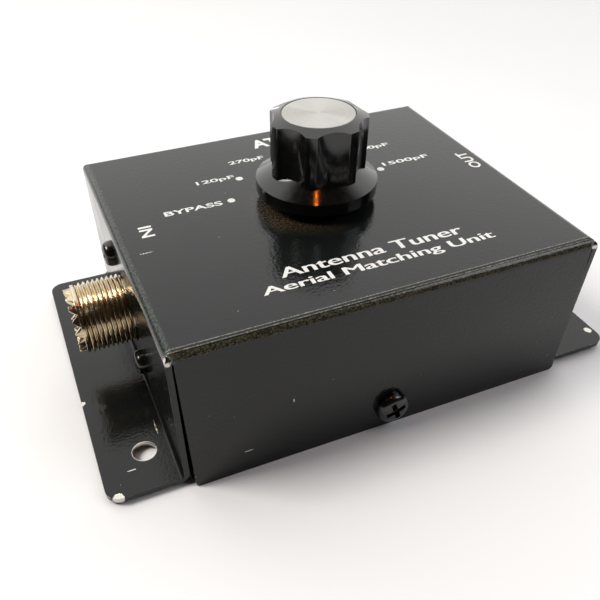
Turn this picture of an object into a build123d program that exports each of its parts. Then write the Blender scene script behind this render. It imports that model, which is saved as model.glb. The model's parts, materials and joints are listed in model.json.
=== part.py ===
"""Antenna matching box: a folded steel cover over a bottom plate, two threaded coaxial
sockets, and a rotary switch that puts one of five capacitors across the line.

Millimetres, +Z up. The origin is the centre of the base, on the surface it stands on.
Front is -Y. The IN socket is on the left (-X) and the OUT socket on the right (+X).
"""
from build123d import *
from math import atan2, cos, degrees, pi, radians, sin, tan
import os

os.makedirs("parts", exist_ok=True)

# ---- driving dimensions -------------------------------------------------------------
BOX_WIDTH = 95.0
BOX_DEPTH = 78.5
BOX_HEIGHT = 36.0
SHEET = 1.2
BEND_OUTER = 2.1
FLANGE_REACH = 16.0
FLANGE_LIFT = 1.0
FLANGE_CORNER = 3.2
FLANGE_HOLE_R = 2.6
FLANGE_HOLE_DX = 107.0
FLANGE_HOLE_DY = 58.0
FLAP_SEAM = 0.35
FLAP_LEAN = 1.5
FLAP_SKEW = 0.4
FLAP_CORNER = 1.0
BASE_SHEET = 1.0
BASE_GAP = 0.15
BASE_LIP = 12.0
COVER_SCREW_Z = 5.9

SHAFT_X = 0.0
SHAFT_Y = 1.5
SHAFT_R = 3.175
RUNNING_GAP = 0.05
POSITION_STEP = 30.0
POSITION_COUNT = 6
FIRST_POSITION = 165.0
POINTER_AT_REST = FIRST_POSITION - POSITION_STEP

SOCKET_Z = 18.5
SOCKET_THREAD_R = 7.9375
SOCKET_FLANGE = 25.4
SOCKET_FLANGE_THICK = 1.6
SOCKET_SCREW_PITCH = 18.26
SOCKET_REACH = 13.0

# ---- derived faces ------------------------------------------------------------------
HALF_W = BOX_WIDTH / 2
HALF_D = BOX_DEPTH / 2
WALL_IN = HALF_W - SHEET
TOP_IN = BOX_HEIGHT - SHEET
BEND_INNER = BEND_OUTER - SHEET
BEND_Z = BOX_HEIGHT - BEND_OUTER
FLANGE_TOP = FLANGE_LIFT + SHEET
LEAN_ANGLE = degrees(atan2(FLAP_LEAN, BEND_Z))
FACES = ((-1, "front"), (1, "rear"))
SIDES = ((-1, "in"), (1, "out"))


def polar(radius, angle):
    """A point at this radius and angle about the switch shaft."""
    return SHAFT_X + radius * cos(radians(angle)), SHAFT_Y + radius * sin(radians(angle))


def shaft_plane(z):
    """A level plane centred on the shaft."""
    return Plane(origin=(SHAFT_X, SHAFT_Y, z), x_dir=(1, 0, 0), z_dir=(0, 0, 1))


def flap_plane(side, z):
    """A plane on the outer face of a leaning flap, facing out, at this height."""
    heel = HALF_D - BEND_OUTER + BEND_OUTER / cos(radians(LEAN_ANGLE))
    y = side * (heel + (BEND_Z - z) * tan(radians(LEAN_ANGLE)))
    normal = (0, side * cos(radians(LEAN_ANGLE)), sin(radians(LEAN_ANGLE)))
    return Plane(origin=(0, y, z), x_dir=(-side, 0, 0), z_dir=normal)


def socket_plane(side, reach):
    """A plane square to a socket's axis, this far out from the wall's inner face."""
    return Plane(origin=(side * (WALL_IN + reach), 0, SOCKET_Z), x_dir=(0, side, 0), z_dir=(side, 0, 0))


def axial(plane):
    """The plane through a plane's normal, so a turned profile is drawn as (radius, height)."""
    return Plane(origin=plane.origin, x_dir=plane.x_dir, z_dir=-plane.y_dir)


def finish(piece, name):
    """Label a piece and write it."""
    piece.part.label = name
    export_step(piece.part, f"parts/{name}.step")


# ---- cover --------------------------------------------------------------------------
# One folded sheet: top, two side walls bent out into mounting flanges, two hanging flaps.
FLANGE_BEND_IN = 0.9
FLANGE_BEND_OUT = FLANGE_BEND_IN + SHEET
SHANK_CLEAR_R = 2.2
SOCKET_HOLE_R = 8.15
SOCKET_SCREW_HOLE_R = 1.7
BUSHING_HOLE_R = 4.9
TAB_RADIUS = 11.5
TAB_HOLE_R = 1.6

with BuildPart() as cover:
    with BuildSketch(Plane.XY.offset(FLANGE_LIFT + FLANGE_BEND_OUT)):
        Rectangle(BOX_WIDTH, BOX_DEPTH)
    extrude(amount=BOX_HEIGHT - FLANGE_LIFT - FLANGE_BEND_OUT)
    fillet(cover.edges().group_by(Axis.Z)[-1], BEND_OUTER)
    with BuildPart(mode=Mode.PRIVATE) as hollow:
        with BuildSketch(Plane.XY):
            Rectangle(BOX_WIDTH - 2 * SHEET, BOX_DEPTH - 2 * SHEET)
        extrude(amount=TOP_IN)
        fillet(hollow.edges().group_by(Axis.Z)[-1], BEND_INNER)
    add(hollow.part, mode=Mode.SUBTRACT)
    with BuildSketch(Plane.XY):
        Rectangle(2 * WALL_IN, BOX_DEPTH + 2 * SHEET)
    extrude(amount=BEND_Z, mode=Mode.SUBTRACT)
    for side, _ in SIDES:
        with BuildSketch(Plane.XZ.offset(-HALF_D)):
            with BuildLine():
                top_out = (side * (HALF_W + FLANGE_BEND_IN), FLANGE_TOP)
                low_out = (side * (HALF_W + FLANGE_BEND_IN), FLANGE_LIFT)
                wall_out = (side * HALF_W, FLANGE_LIFT + FLANGE_BEND_OUT)
                wall_in = (side * WALL_IN, FLANGE_LIFT + FLANGE_BEND_OUT)
                tip_x = side * (HALF_W + FLANGE_REACH)
                turn = 1 / 2 ** 0.5
                centre = (side * (HALF_W + FLANGE_BEND_IN), FLANGE_LIFT + FLANGE_BEND_OUT)
                mid_in = (centre[0] - side * FLANGE_BEND_IN * turn, centre[1] - FLANGE_BEND_IN * turn)
                mid_out = (centre[0] - side * FLANGE_BEND_OUT * turn, centre[1] - FLANGE_BEND_OUT * turn)
                ThreePointArc(wall_out, mid_in, top_out)
                Line(top_out, (tip_x, FLANGE_TOP))
                Line((tip_x, FLANGE_TOP), (tip_x, FLANGE_LIFT))
                Line((tip_x, FLANGE_LIFT), low_out)
                ThreePointArc(low_out, mid_out, wall_in)
                Line(wall_in, wall_out)
            make_face()
        extrude(amount=BOX_DEPTH)
    tips = cover.edges().filter_by(Axis.Z).filter_by(lambda e: abs(e.center().X) > HALF_W + FLANGE_REACH - 0.1)
    fillet(tips, FLANGE_CORNER)
    for side, _ in FACES:
        lean = radians(LEAN_ANGLE)
        centre = (side * (HALF_D - BEND_OUTER), BEND_Z)
        with BuildSketch(Plane.YZ.offset(-(WALL_IN - FLAP_SEAM))):
            with BuildLine():
                ends = []
                for radius in (BEND_OUTER, BEND_INNER):
                    crest = (centre[0], BEND_Z + radius)
                    middle = (centre[0] + side * radius * turn, BEND_Z + radius * turn)
                    heel = (centre[0] + side * radius * cos(lean), BEND_Z + radius * sin(lean))
                    foot = (heel[0] + side * heel[1] * tan(lean), 0)
                    ThreePointArc(crest, middle, heel)
                    Line(heel, foot)
                    ends.append((crest, foot))
                Line(ends[0][0], ends[1][0])
                Line(ends[0][1], ends[1][1])
            make_face()
        extrude(amount=2 * (WALL_IN - FLAP_SEAM))
        # Each flap is cut a little askew, so the seam at its left end opens towards the bottom.
        with BuildSketch(Plane.XZ.offset(-side * (HALF_D - 2 * SHEET))):
            seam = side * (WALL_IN - FLAP_SEAM)
            Polygon((seam, BEND_Z - BEND_OUTER), (seam, 0), (seam - side * FLAP_SKEW, 0), align=None)
        extrude(amount=-side * 4 * SHEET, mode=Mode.SUBTRACT)
    feet = cover.edges().filter_by(lambda e: e.center().Z < SHEET and abs(e.center().Y) > HALF_D)
    fillet(feet.filter_by(lambda e: e.length < 2 * SHEET), FLAP_CORNER)
    with BuildSketch(Plane.XY):
        with GridLocations(FLANGE_HOLE_DX, FLANGE_HOLE_DY, 2, 2):
            Circle(FLANGE_HOLE_R)
    extrude(amount=FLANGE_TOP + SHEET, mode=Mode.SUBTRACT)
    with BuildSketch(shaft_plane(TOP_IN - SHEET)):
        Circle(BUSHING_HOLE_R)
        with Locations((0, TAB_RADIUS)):
            Circle(TAB_HOLE_R)
    extrude(amount=3 * SHEET, mode=Mode.SUBTRACT)
    for side, _ in SIDES:
        with BuildSketch(socket_plane(side, -SHEET)):
            Circle(SOCKET_HOLE_R)
            for end in (-1, 1):
                with Locations((end * SOCKET_SCREW_PITCH / 2, -end * SOCKET_SCREW_PITCH / 2)):
                    Circle(SOCKET_SCREW_HOLE_R)
        extrude(amount=3 * SHEET, mode=Mode.SUBTRACT)
    for side, _ in FACES:
        with BuildSketch(flap_plane(side, COVER_SCREW_Z)):
            Circle(SHANK_CLEAR_R)
        extrude(amount=-2 * SHEET, mode=Mode.SUBTRACT)
finish(cover, "cover")

# ---- bottom plate -------------------------------------------------------------------
# A flat plate whose front and rear lips stand just inside the flaps and lean with them.
BASE_BEND = 1.5
SCREW_SHANK_R = 1.95
LIP_HOLE_R = SCREW_SHANK_R + RUNNING_GAP
BASE_HALF_W = WALL_IN - 0.4
LIP_SETBACK = 3.5

lean = radians(LEAN_ANGLE)
flap_inner = HALF_D - SHEET / cos(lean) + (BEND_Z * tan(lean))
lip_outer = flap_inner - BASE_GAP
with BuildPart() as bottom_plate:
    with BuildSketch(Plane.YZ.offset(-BASE_HALF_W)):
        with BuildLine():
            rim = lip_outer - BASE_LIP * tan(lean)
            FilletPolyline(
                (-rim, BASE_LIP), (-lip_outer, 0), (lip_outer, 0), (rim, BASE_LIP), radius=BASE_BEND
            )
            inner = lip_outer - BASE_SHEET / cos(lean) - BASE_SHEET * tan(lean)
            inner_rim = rim - BASE_SHEET / cos(lean)
            FilletPolyline(
                (-inner_rim, BASE_LIP), (-inner, BASE_SHEET), (inner, BASE_SHEET), (inner_rim, BASE_LIP),
                radius=BASE_BEND - BASE_SHEET,
            )
            Line((rim, BASE_LIP), (inner_rim, BASE_LIP))
            Line((-rim, BASE_LIP), (-inner_rim, BASE_LIP))
        make_face()
    extrude(amount=2 * BASE_HALF_W)
    # The lips stop short of the walls, clear of the bends above them.
    with BuildSketch(Plane.XY.offset(BASE_SHEET)):
        with Locations((BASE_HALF_W, 0), (-BASE_HALF_W, 0)):
            Rectangle(2 * LIP_SETBACK, 2 * BOX_DEPTH)
    extrude(amount=BASE_LIP, mode=Mode.SUBTRACT)
    for side, _ in FACES:
        with BuildSketch(flap_plane(side, COVER_SCREW_Z)):
            Circle(LIP_HOLE_R)
        extrude(amount=-4 * SHEET, mode=Mode.SUBTRACT)
finish(bottom_plate, "bottom_plate")


# ---- screws, washers and nuts -------------------------------------------------------
def pan_screws(planes, head_r, head_h, shank_r, length, slot_w, turn):
    """Cross-recessed pan-head screws whose heads sit on the given planes."""
    with BuildPart() as screws:
        for plane in planes:
            with BuildSketch(axial(plane)):
                with BuildLine():
                    Line((0, -length), (shank_r, -length))
                    Line((shank_r, -length), (shank_r, 0))
                    Line((shank_r, 0), (head_r, 0))
                    Line((head_r, 0), (head_r, head_h * 0.35))
                    crown = (head_r * 0.55, head_h * 0.93)
                    ThreePointArc((head_r, head_h * 0.35), (head_r * 0.87, head_h * 0.75), crown)
                    Line(crown, (0, head_h))
                    Line((0, head_h), (0, -length))
                make_face()
            revolve(axis=Axis(plane.origin, plane.z_dir))
            with BuildSketch(plane.offset(head_h)):
                for angle in (turn, turn + 90):
                    Rectangle(head_r * 1.15, slot_w, rotation=angle)
            extrude(amount=-head_h * 0.65, mode=Mode.SUBTRACT)
    return screws


COVER_HEAD_R = 3.9
COVER_HEAD_H = 2.6
COVER_SCREW_LENGTH = 6.5
for side, name in FACES:
    cover_screw = pan_screws(
        [flap_plane(side, COVER_SCREW_Z)], COVER_HEAD_R, COVER_HEAD_H, SCREW_SHANK_R, COVER_SCREW_LENGTH, 1.1, 20
    )
    finish(cover_screw, f"cover_screw_{name}")

SOCKET_HEAD_R = 2.9
SOCKET_HEAD_H = 2.2
SOCKET_SHANK_R = 1.45
SOCKET_SCREW_LENGTH = 7.5
WASHER_THICK = 0.5
WASHER_R = 2.9
SOCKET_NUT_THICK = 2.4
SOCKET_NUT_AF = 5.5
SCREW_CORNERS = [(end * SOCKET_SCREW_PITCH / 2, -end * SOCKET_SCREW_PITCH / 2) for end in (-1, 1)]


def corner_planes(side, reach):
    """The socket plane moved onto each of its two screw centres."""
    base = socket_plane(side, reach)
    return [Plane(origin=base.from_local_coords((x, y, 0)), x_dir=base.x_dir, z_dir=base.z_dir)
            for x, y in SCREW_CORNERS]


LUG_THICK = 0.5
WASHER_FACE = -SOCKET_FLANGE_THICK
for side, name in SIDES:
    socket_screws = pan_screws(
        corner_planes(side, SHEET), SOCKET_HEAD_R, SOCKET_HEAD_H, SOCKET_SHANK_R, SOCKET_SCREW_LENGTH, 0.8, 35
    )
    finish(socket_screws, f"socket_screws_{name}")
    # The ground lug lies under the lower washer of the OUT socket.
    lifts = [0, LUG_THICK if name == "out" else 0]
    with BuildPart() as socket_washers:
        for lift, plane in zip(lifts, corner_planes(side, WASHER_FACE)):
            with BuildSketch(plane.offset(-lift)):
                Circle(WASHER_R)
                Circle(SOCKET_SHANK_R + RUNNING_GAP, mode=Mode.SUBTRACT)
                with PolarLocations(WASHER_R, 12):
                    Circle(0.25, mode=Mode.SUBTRACT)
            extrude(amount=-WASHER_THICK)
    finish(socket_washers, f"socket_washers_{name}")
    with BuildPart() as socket_nuts:
        for lift, plane in zip(lifts, corner_planes(side, WASHER_FACE - WASHER_THICK)):
            with BuildSketch(plane.offset(-lift)):
                RegularPolygon(SOCKET_NUT_AF / 2, 6, major_radius=False)
                Circle(SOCKET_SHANK_R + RUNNING_GAP, mode=Mode.SUBTRACT)
            extrude(amount=-SOCKET_NUT_THICK)
    finish(socket_nuts, f"socket_nuts_{name}")

# ---- coaxial sockets ----------------------------------------------------------------
# Each shell is a square flange with a threaded barrel that ends in a toothed rim.
COLLAR_R = 7.6
COLLAR_END = SHEET + 0.2
THREAD_END = SHEET + 10.4
GROOVE_R = 7.1
RING_START = THREAD_END + 0.2
RING_R = 7.75
RIM_START = RING_START + 0.7
RIM_R = 7.1
SOCKET_TIP = SHEET + SOCKET_REACH
BORE_R = 5.9
INSULATOR_R = 5.8
TEETH = 16
TOOTH_DEPTH = 1.6
CONTACT_R = 2.9
CONTACT_BORE_R = 2.0
CONTACT_FACE = SOCKET_TIP - 1.6
CONTACT_DEPTH = 9.0
INSULATOR_FACE = SHEET + 3.0
INSULATOR_BACK = -SOCKET_FLANGE_THICK - 2.5
TAIL_R = 1.6
TAIL_BACK = -SOCKET_FLANGE_THICK - 6.0
CUP_R = 0.9
CUP_DEPTH = 3.0

for side, name in SIDES:
    base = socket_plane(side, 0)
    spin = Axis(base.origin, base.z_dir)
    with BuildPart() as shell:
        with BuildSketch(base):
            RectangleRounded(SOCKET_FLANGE, SOCKET_FLANGE, 1.5)
            for x, y in SCREW_CORNERS + [(-x, y) for x, y in SCREW_CORNERS]:
                with Locations((x, y)):
                    Circle(SOCKET_SCREW_HOLE_R, mode=Mode.SUBTRACT)
        extrude(amount=-SOCKET_FLANGE_THICK)
        with BuildSketch(axial(base)):
            Polygon(
                (0, -SOCKET_FLANGE_THICK), (COLLAR_R, -SOCKET_FLANGE_THICK), (COLLAR_R, COLLAR_END),
                (SOCKET_THREAD_R, COLLAR_END), (SOCKET_THREAD_R, THREAD_END), (GROOVE_R, THREAD_END),
                (GROOVE_R, RING_START), (RING_R, RING_START), (RING_R, RIM_START), (RIM_R, RIM_START),
                (RIM_R, SOCKET_TIP), (0, SOCKET_TIP), align=None,
            )
        revolve(axis=spin)
        with BuildSketch(base.offset(SOCKET_TIP)):
            Circle(BORE_R)
        extrude(amount=-(SOCKET_TIP + SOCKET_FLANGE_THICK), mode=Mode.SUBTRACT)
        for index in range(TEETH):
            notch = Plane(base.location * Location((0, 0, 0), (0, 0, index * 360 / TEETH)))
            with BuildSketch(axial(Plane(origin=notch.origin, x_dir=notch.y_dir, z_dir=notch.z_dir))):
                half = pi * RIM_R / TEETH
                Polygon((-half, SOCKET_TIP + 0.01), (half, SOCKET_TIP + 0.01),
                        (0, SOCKET_TIP - TOOTH_DEPTH), align=None)
            extrude(amount=SOCKET_THREAD_R, mode=Mode.SUBTRACT)
    finish(shell, f"socket_shell_{name}")
    with BuildPart() as insulator:
        with BuildSketch(base.offset(INSULATOR_BACK)):
            Circle(INSULATOR_R)
            Circle(TAIL_R + RUNNING_GAP, mode=Mode.SUBTRACT)
        extrude(amount=INSULATOR_FACE - INSULATOR_BACK)
    finish(insulator, f"socket_insulator_{name}")
    with BuildPart() as contact:
        with BuildSketch(axial(base)):
            Polygon(
                (0, TAIL_BACK), (TAIL_R, TAIL_BACK), (TAIL_R, INSULATOR_FACE), (CONTACT_R, INSULATOR_FACE),
                (CONTACT_R, CONTACT_FACE), (0, CONTACT_FACE), align=None,
            )
        revolve(axis=spin)
        with BuildSketch(base.offset(CONTACT_FACE)):
            Circle(CONTACT_BORE_R)
        extrude(amount=-(CONTACT_FACE - INSULATOR_FACE - 0.8), mode=Mode.SUBTRACT)
        with BuildSketch(base.offset(CONTACT_FACE)):
            Rectangle(2 * CONTACT_R + 1, 0.5)
        extrude(amount=-5.0, mode=Mode.SUBTRACT)
        with BuildSketch(base.offset(TAIL_BACK)):
            Circle(CUP_R)
        extrude(amount=CUP_DEPTH, mode=Mode.SUBTRACT)
    finish(contact, f"socket_contact_{name}")

# ---- rotary switch: fixed pieces ----------------------------------------------------
INDEX_THICK = 1.4
INDEX_Z = TOP_IN - INDEX_THICK
INDEX_R = 17.0
BUSHING_R = 4.7
BUSHING_TOP = BOX_HEIGHT + 3.0
PANEL_WASHER_THICK = 0.5
PANEL_WASHER_R = 8.0
PANEL_NUT_THICK = 2.0
PANEL_NUT_AF = 12.7
TIE_RADIUS = 14.4
TIE_ANGLES = (150, 330)
TIE_R = 1.2
TIE_HEAD_R = 2.0
TIE_HEAD_H = 1.0
SPACER_R = 1.95
WAFER_THICK = 1.6
WAFER_Z = 22.0
WAFER_TOP = WAFER_Z + WAFER_THICK
WAFER_R = 17.0
ROTOR_HOLE_R = 8.2
TIE_NUT_THICK = 1.6
TIE_NUT_AF = 4.0
WHEEL_Z = 28.6
WHEEL_THICK = 2.0
WHEEL_R = 8.6
NOTCH_R = 1.7
TAB_TIP_R = 11.4
TAB_W = 3.0
TAB_AT_REST = 60.0
BALL_R = 1.2
BALL_RADIUS = 10.3
BALL_ANGLE = 240.0
STOP_PIN_R = 1.0
STOP_RADIUS = 11.2
STOP_MARGIN = 14.4
TRAVEL_UP = FIRST_POSITION - POINTER_AT_REST
TRAVEL_DOWN = POSITION_STEP * (POSITION_COUNT - 1) - TRAVEL_UP

with BuildPart() as switch_bushing:
    with BuildSketch(shaft_plane(INDEX_Z - 1.2)):
        Circle(BUSHING_R)
        Circle(SHAFT_R + RUNNING_GAP, mode=Mode.SUBTRACT)
    extrude(amount=BUSHING_TOP - INDEX_Z + 1.2)
    chamfer(switch_bushing.edges().group_by(Axis.Z)[-1].sort_by(SortBy.LENGTH)[-1], 0.4)
finish(switch_bushing, "switch_bushing")

with BuildPart() as index_plate:
    with BuildSketch(shaft_plane(INDEX_Z)):
        Circle(INDEX_R)
        Circle(BUSHING_R + 0.02, mode=Mode.SUBTRACT)
        for angle in TIE_ANGLES:
            with PolarLocations(TIE_RADIUS, 1, start_angle=angle):
                Circle(TIE_R + RUNNING_GAP, mode=Mode.SUBTRACT)
    extrude(amount=INDEX_THICK - 0.05)
    with BuildSketch(shaft_plane(INDEX_Z)):
        with Locations((0, TAB_RADIUS)):
            Circle(TAB_HOLE_R - 0.2)
    extrude(amount=INDEX_THICK + SHEET - 0.2)
    with BuildSketch(shaft_plane(WHEEL_Z - 0.4)):
        for angle in (TAB_AT_REST + TRAVEL_UP + STOP_MARGIN, TAB_AT_REST - TRAVEL_DOWN - STOP_MARGIN):
            with PolarLocations(STOP_RADIUS, 1, start_angle=angle):
                Circle(STOP_PIN_R)
    extrude(amount=INDEX_Z - WHEEL_Z + 0.6)
finish(index_plate, "index_plate")

with BuildPart() as panel_washer:
    with BuildSketch(shaft_plane(BOX_HEIGHT)):
        Circle(PANEL_WASHER_R)
        Circle(BUSHING_R + RUNNING_GAP, mode=Mode.SUBTRACT)
        with PolarLocations(PANEL_WASHER_R, 18):
            Rectangle(1.6, 0.9, mode=Mode.SUBTRACT)
    extrude(amount=PANEL_WASHER_THICK)
finish(panel_washer, "panel_washer")

with BuildPart() as panel_nut:
    with BuildSketch(shaft_plane(BOX_HEIGHT + PANEL_WASHER_THICK)):
        RegularPolygon(PANEL_NUT_AF / 2, 6, major_radius=False, rotation=15)
        Circle(BUSHING_R + RUNNING_GAP, mode=Mode.SUBTRACT)
    extrude(amount=PANEL_NUT_THICK)
finish(panel_nut, "panel_nut")

with BuildPart() as tie_screws:
    with BuildSketch(shaft_plane(WAFER_Z - TIE_NUT_THICK - 0.8)):
        for angle in TIE_ANGLES:
            with PolarLocations(TIE_RADIUS, 1, start_angle=angle):
                Circle(TIE_R)
    extrude(amount=INDEX_Z + INDEX_THICK - 0.2 - (WAFER_Z - TIE_NUT_THICK - 0.8))
finish(tie_screws, "tie_screws")

with BuildPart() as tie_spacers:
    with BuildSketch(shaft_plane(WAFER_TOP)):
        for angle in TIE_ANGLES:
            with PolarLocations(TIE_RADIUS, 1, start_angle=angle):
                Circle(SPACER_R)
                Circle(TIE_R + RUNNING_GAP, mode=Mode.SUBTRACT)
    extrude(amount=INDEX_Z - WAFER_TOP)
finish(tie_spacers, "tie_spacers")

with BuildPart() as tie_nuts:
    with BuildSketch(shaft_plane(WAFER_Z)):
        for angle in TIE_ANGLES:
            with PolarLocations(TIE_RADIUS, 1, start_angle=angle):
                RegularPolygon(TIE_NUT_AF / 2, 6, major_radius=False)
                Circle(TIE_R + RUNNING_GAP, mode=Mode.SUBTRACT)
    extrude(amount=-TIE_NUT_THICK)
finish(tie_nuts, "tie_nuts")

with BuildPart() as stator_wafer:
    with BuildSketch(shaft_plane(WAFER_Z)):
        Circle(WAFER_R)
        Circle(ROTOR_HOLE_R, mode=Mode.SUBTRACT)
        for angle in TIE_ANGLES:
            with PolarLocations(TIE_RADIUS, 1, start_angle=angle):
                Circle(TIE_R + RUNNING_GAP, mode=Mode.SUBTRACT)
    extrude(amount=WAFER_THICK)
finish(stator_wafer, "stator_wafer")

CONTACT_THICK = 0.4
FINGER_IN = 6.5
COMMON_IN = 4.9
LUG_OUT = 20.0
LUG_W = 2.4
LUG_HOLE_R = 0.6
COMMON_ANGLE = 270.0
CONTACT_ANGLES = [FIRST_POSITION - POSITION_STEP * index for index in range(POSITION_COUNT)]

with BuildPart() as stator_contacts:
    with BuildSketch(shaft_plane(WAFER_TOP)):
        for angle in CONTACT_ANGLES + [COMMON_ANGLE]:
            inner = COMMON_IN if angle == COMMON_ANGLE else FINGER_IN
            with PolarLocations((inner + LUG_OUT) / 2, 1, start_angle=angle):
                Rectangle(LUG_OUT - inner, LUG_W)
            with PolarLocations(LUG_OUT - 1.2, 1, start_angle=angle):
                Circle(LUG_HOLE_R, mode=Mode.SUBTRACT)
    extrude(amount=CONTACT_THICK)
finish(stator_contacts, "stator_contacts")

with BuildPart() as detent_ball:
    with Locations((*polar(BALL_RADIUS, BALL_ANGLE), WHEEL_Z + WHEEL_THICK / 2)):
        Sphere(BALL_R)
finish(detent_ball, "detent_ball")

# A leaf spring stands on the index plate behind the ball and presses it into a notch.
SPRING_THICK = 0.4
SPRING_W = 6.0
with BuildPart() as detent_spring:
    spring_x = BALL_RADIUS + BALL_R
    spring_foot = spring_x + 3.6
    out = Vector(cos(radians(BALL_ANGLE)), sin(radians(BALL_ANGLE)), 0)
    across = Vector(-out.Y, out.X, 0)
    hinge = Plane(origin=Vector(SHAFT_X, SHAFT_Y, 0) - across * (SPRING_W / 2), x_dir=out, z_dir=-across)
    with BuildSketch(hinge):
        with BuildLine():
            FilletPolyline(
                (spring_foot, INDEX_Z), (spring_x, INDEX_Z), (spring_x, WHEEL_Z - 0.4), radius=1.0
            )
            FilletPolyline(
                (spring_foot, INDEX_Z - SPRING_THICK), (spring_x + SPRING_THICK, INDEX_Z - SPRING_THICK),
                (spring_x + SPRING_THICK, WHEEL_Z - 0.4), radius=0.6,
            )
            Line((spring_foot, INDEX_Z), (spring_foot, INDEX_Z - SPRING_THICK))
            Line((spring_x, WHEEL_Z - 0.4), (spring_x + SPRING_THICK, WHEEL_Z - 0.4))
        make_face()
    extrude(amount=-SPRING_W)
finish(detent_spring, "detent_spring")

# ---- rotary switch: turning pieces --------------------------------------------------
SHAFT_BOTTOM = 20.6
SHAFT_TOP = BOX_HEIGHT + 14.5
CLIP_Z = BUSHING_TOP + 0.1
CLIP_THICK = 0.5
CLIP_GROOVE_R = 2.7
CLIP_R = 4.6
FLAT_HALF = 2.4
FLAT_TOP = WHEEL_Z + WHEEL_THICK
HUB_FIT = 0.02

with BuildPart() as switch_shaft:
    with BuildSketch(shaft_plane(SHAFT_BOTTOM)):
        Circle(SHAFT_R)
    extrude(amount=SHAFT_TOP - SHAFT_BOTTOM)
    chamfer(switch_shaft.edges().group_by(Axis.Z)[-1], 0.4)
    with BuildSketch(shaft_plane(CLIP_Z - 0.05)):
        Circle(SHAFT_R + 1)
        Circle(CLIP_GROOVE_R, mode=Mode.SUBTRACT)
    extrude(amount=CLIP_THICK + 0.1, mode=Mode.SUBTRACT)
    with BuildSketch(shaft_plane(SHAFT_BOTTOM)):
        with Locations((0, FLAT_HALF + 1), (0, -FLAT_HALF - 1)):
            Rectangle(3 * SHAFT_R, 2)
    extrude(amount=FLAT_TOP - SHAFT_BOTTOM, mode=Mode.SUBTRACT)
finish(switch_shaft, "switch_shaft")

with BuildPart() as shaft_clip:
    with BuildSketch(shaft_plane(CLIP_Z)):
        Circle(CLIP_R)
        Circle(CLIP_GROOVE_R + RUNNING_GAP, mode=Mode.SUBTRACT)
        with Locations((0, -CLIP_R)):
            Rectangle(3.4, 2 * CLIP_R, mode=Mode.SUBTRACT)
    extrude(amount=CLIP_THICK)
finish(shaft_clip, "shaft_clip")


def hub_hole():
    """The double-flatted hole that keys a piece to the shaft, in the current sketch."""
    with BuildSketch(mode=Mode.PRIVATE) as keyed:
        Circle(SHAFT_R + HUB_FIT)
        Rectangle(3 * SHAFT_R, 2 * (FLAT_HALF + HUB_FIT), mode=Mode.INTERSECT)
    return keyed.sketch


with BuildPart() as detent_wheel:
    with BuildSketch(shaft_plane(WHEEL_Z)):
        Circle(WHEEL_R)
        with PolarLocations(BALL_RADIUS - 0.25, 12):
            Circle(NOTCH_R, mode=Mode.SUBTRACT)
        with PolarLocations((WHEEL_R + TAB_TIP_R) / 2 - 1, 1, start_angle=TAB_AT_REST):
            Rectangle(TAB_TIP_R - WHEEL_R + 2, TAB_W)
        add(hub_hole(), mode=Mode.SUBTRACT)
    extrude(amount=WHEEL_THICK - 0.05)
finish(detent_wheel, "detent_wheel")

ROTOR_R = 7.9
ROTOR_THICK = 1.0
BLADE_THICK = 0.3
BLADE_RING_R = 5.6
with BuildPart() as rotor_disc:
    with BuildSketch(shaft_plane(WAFER_Z)):
        Circle(ROTOR_R)
        add(hub_hole(), mode=Mode.SUBTRACT)
    extrude(amount=ROTOR_THICK)
finish(rotor_disc, "rotor_disc")

with BuildPart() as rotor_blade:
    with BuildSketch(shaft_plane(WAFER_Z + ROTOR_THICK)):
        Circle(BLADE_RING_R)
        with PolarLocations((BLADE_RING_R + ROTOR_R) / 2 - 0.7, 1, start_angle=POINTER_AT_REST):
            Rectangle(ROTOR_R - BLADE_RING_R + 1.2, 2.2)
        Circle(BLADE_RING_R - 1.4, mode=Mode.SUBTRACT)
    extrude(amount=BLADE_THICK)
finish(rotor_blade, "rotor_blade")

# ---- knob ---------------------------------------------------------------------------
# Seven shallow flutes round the grip, which flares into a conical skirt.
KNOB_BOTTOM = BOX_HEIGHT + 2.4
RIM_TOP = BOX_HEIGHT + 5.0
SKIRT_R = 13.8
GRIP_R = 10.9
FLUTES = 7
FLUTE_DEPTH_R = 9.5
FLUTE_R = 8.5
CONE_TOP_Z = BOX_HEIGHT + 8.4
CONE_TOP_R = 8.4
CROWN_Z = BOX_HEIGHT + 19.3
CROWN_DROP = 1.0
CAP_R = 8.0
CAP_THICK = 0.8
CAVITY_R = 9.0
CAVITY_TOP = BOX_HEIGHT + 4.1
INSERT_R = 4.75
INSERT_TOP = BOX_HEIGHT + 15.0
SET_SCREW_Z = BOX_HEIGHT + 9.6
SET_SCREW_R = 2.0
SET_SCREW_ANGLE = POINTER_AT_REST + 5.5 * 360 / FLUTES
LINE_W = 1.3
LINE_DEPTH = 0.35
LINE_IN = CAP_R + 1.1

knob_profile = axial(shaft_plane(0))
set_screw_plane = Plane(
    origin=(SHAFT_X, SHAFT_Y, SET_SCREW_Z),
    x_dir=(-sin(radians(SET_SCREW_ANGLE)), cos(radians(SET_SCREW_ANGLE)), 0),
    z_dir=(cos(radians(SET_SCREW_ANGLE)), sin(radians(SET_SCREW_ANGLE)), 0),
)

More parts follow.
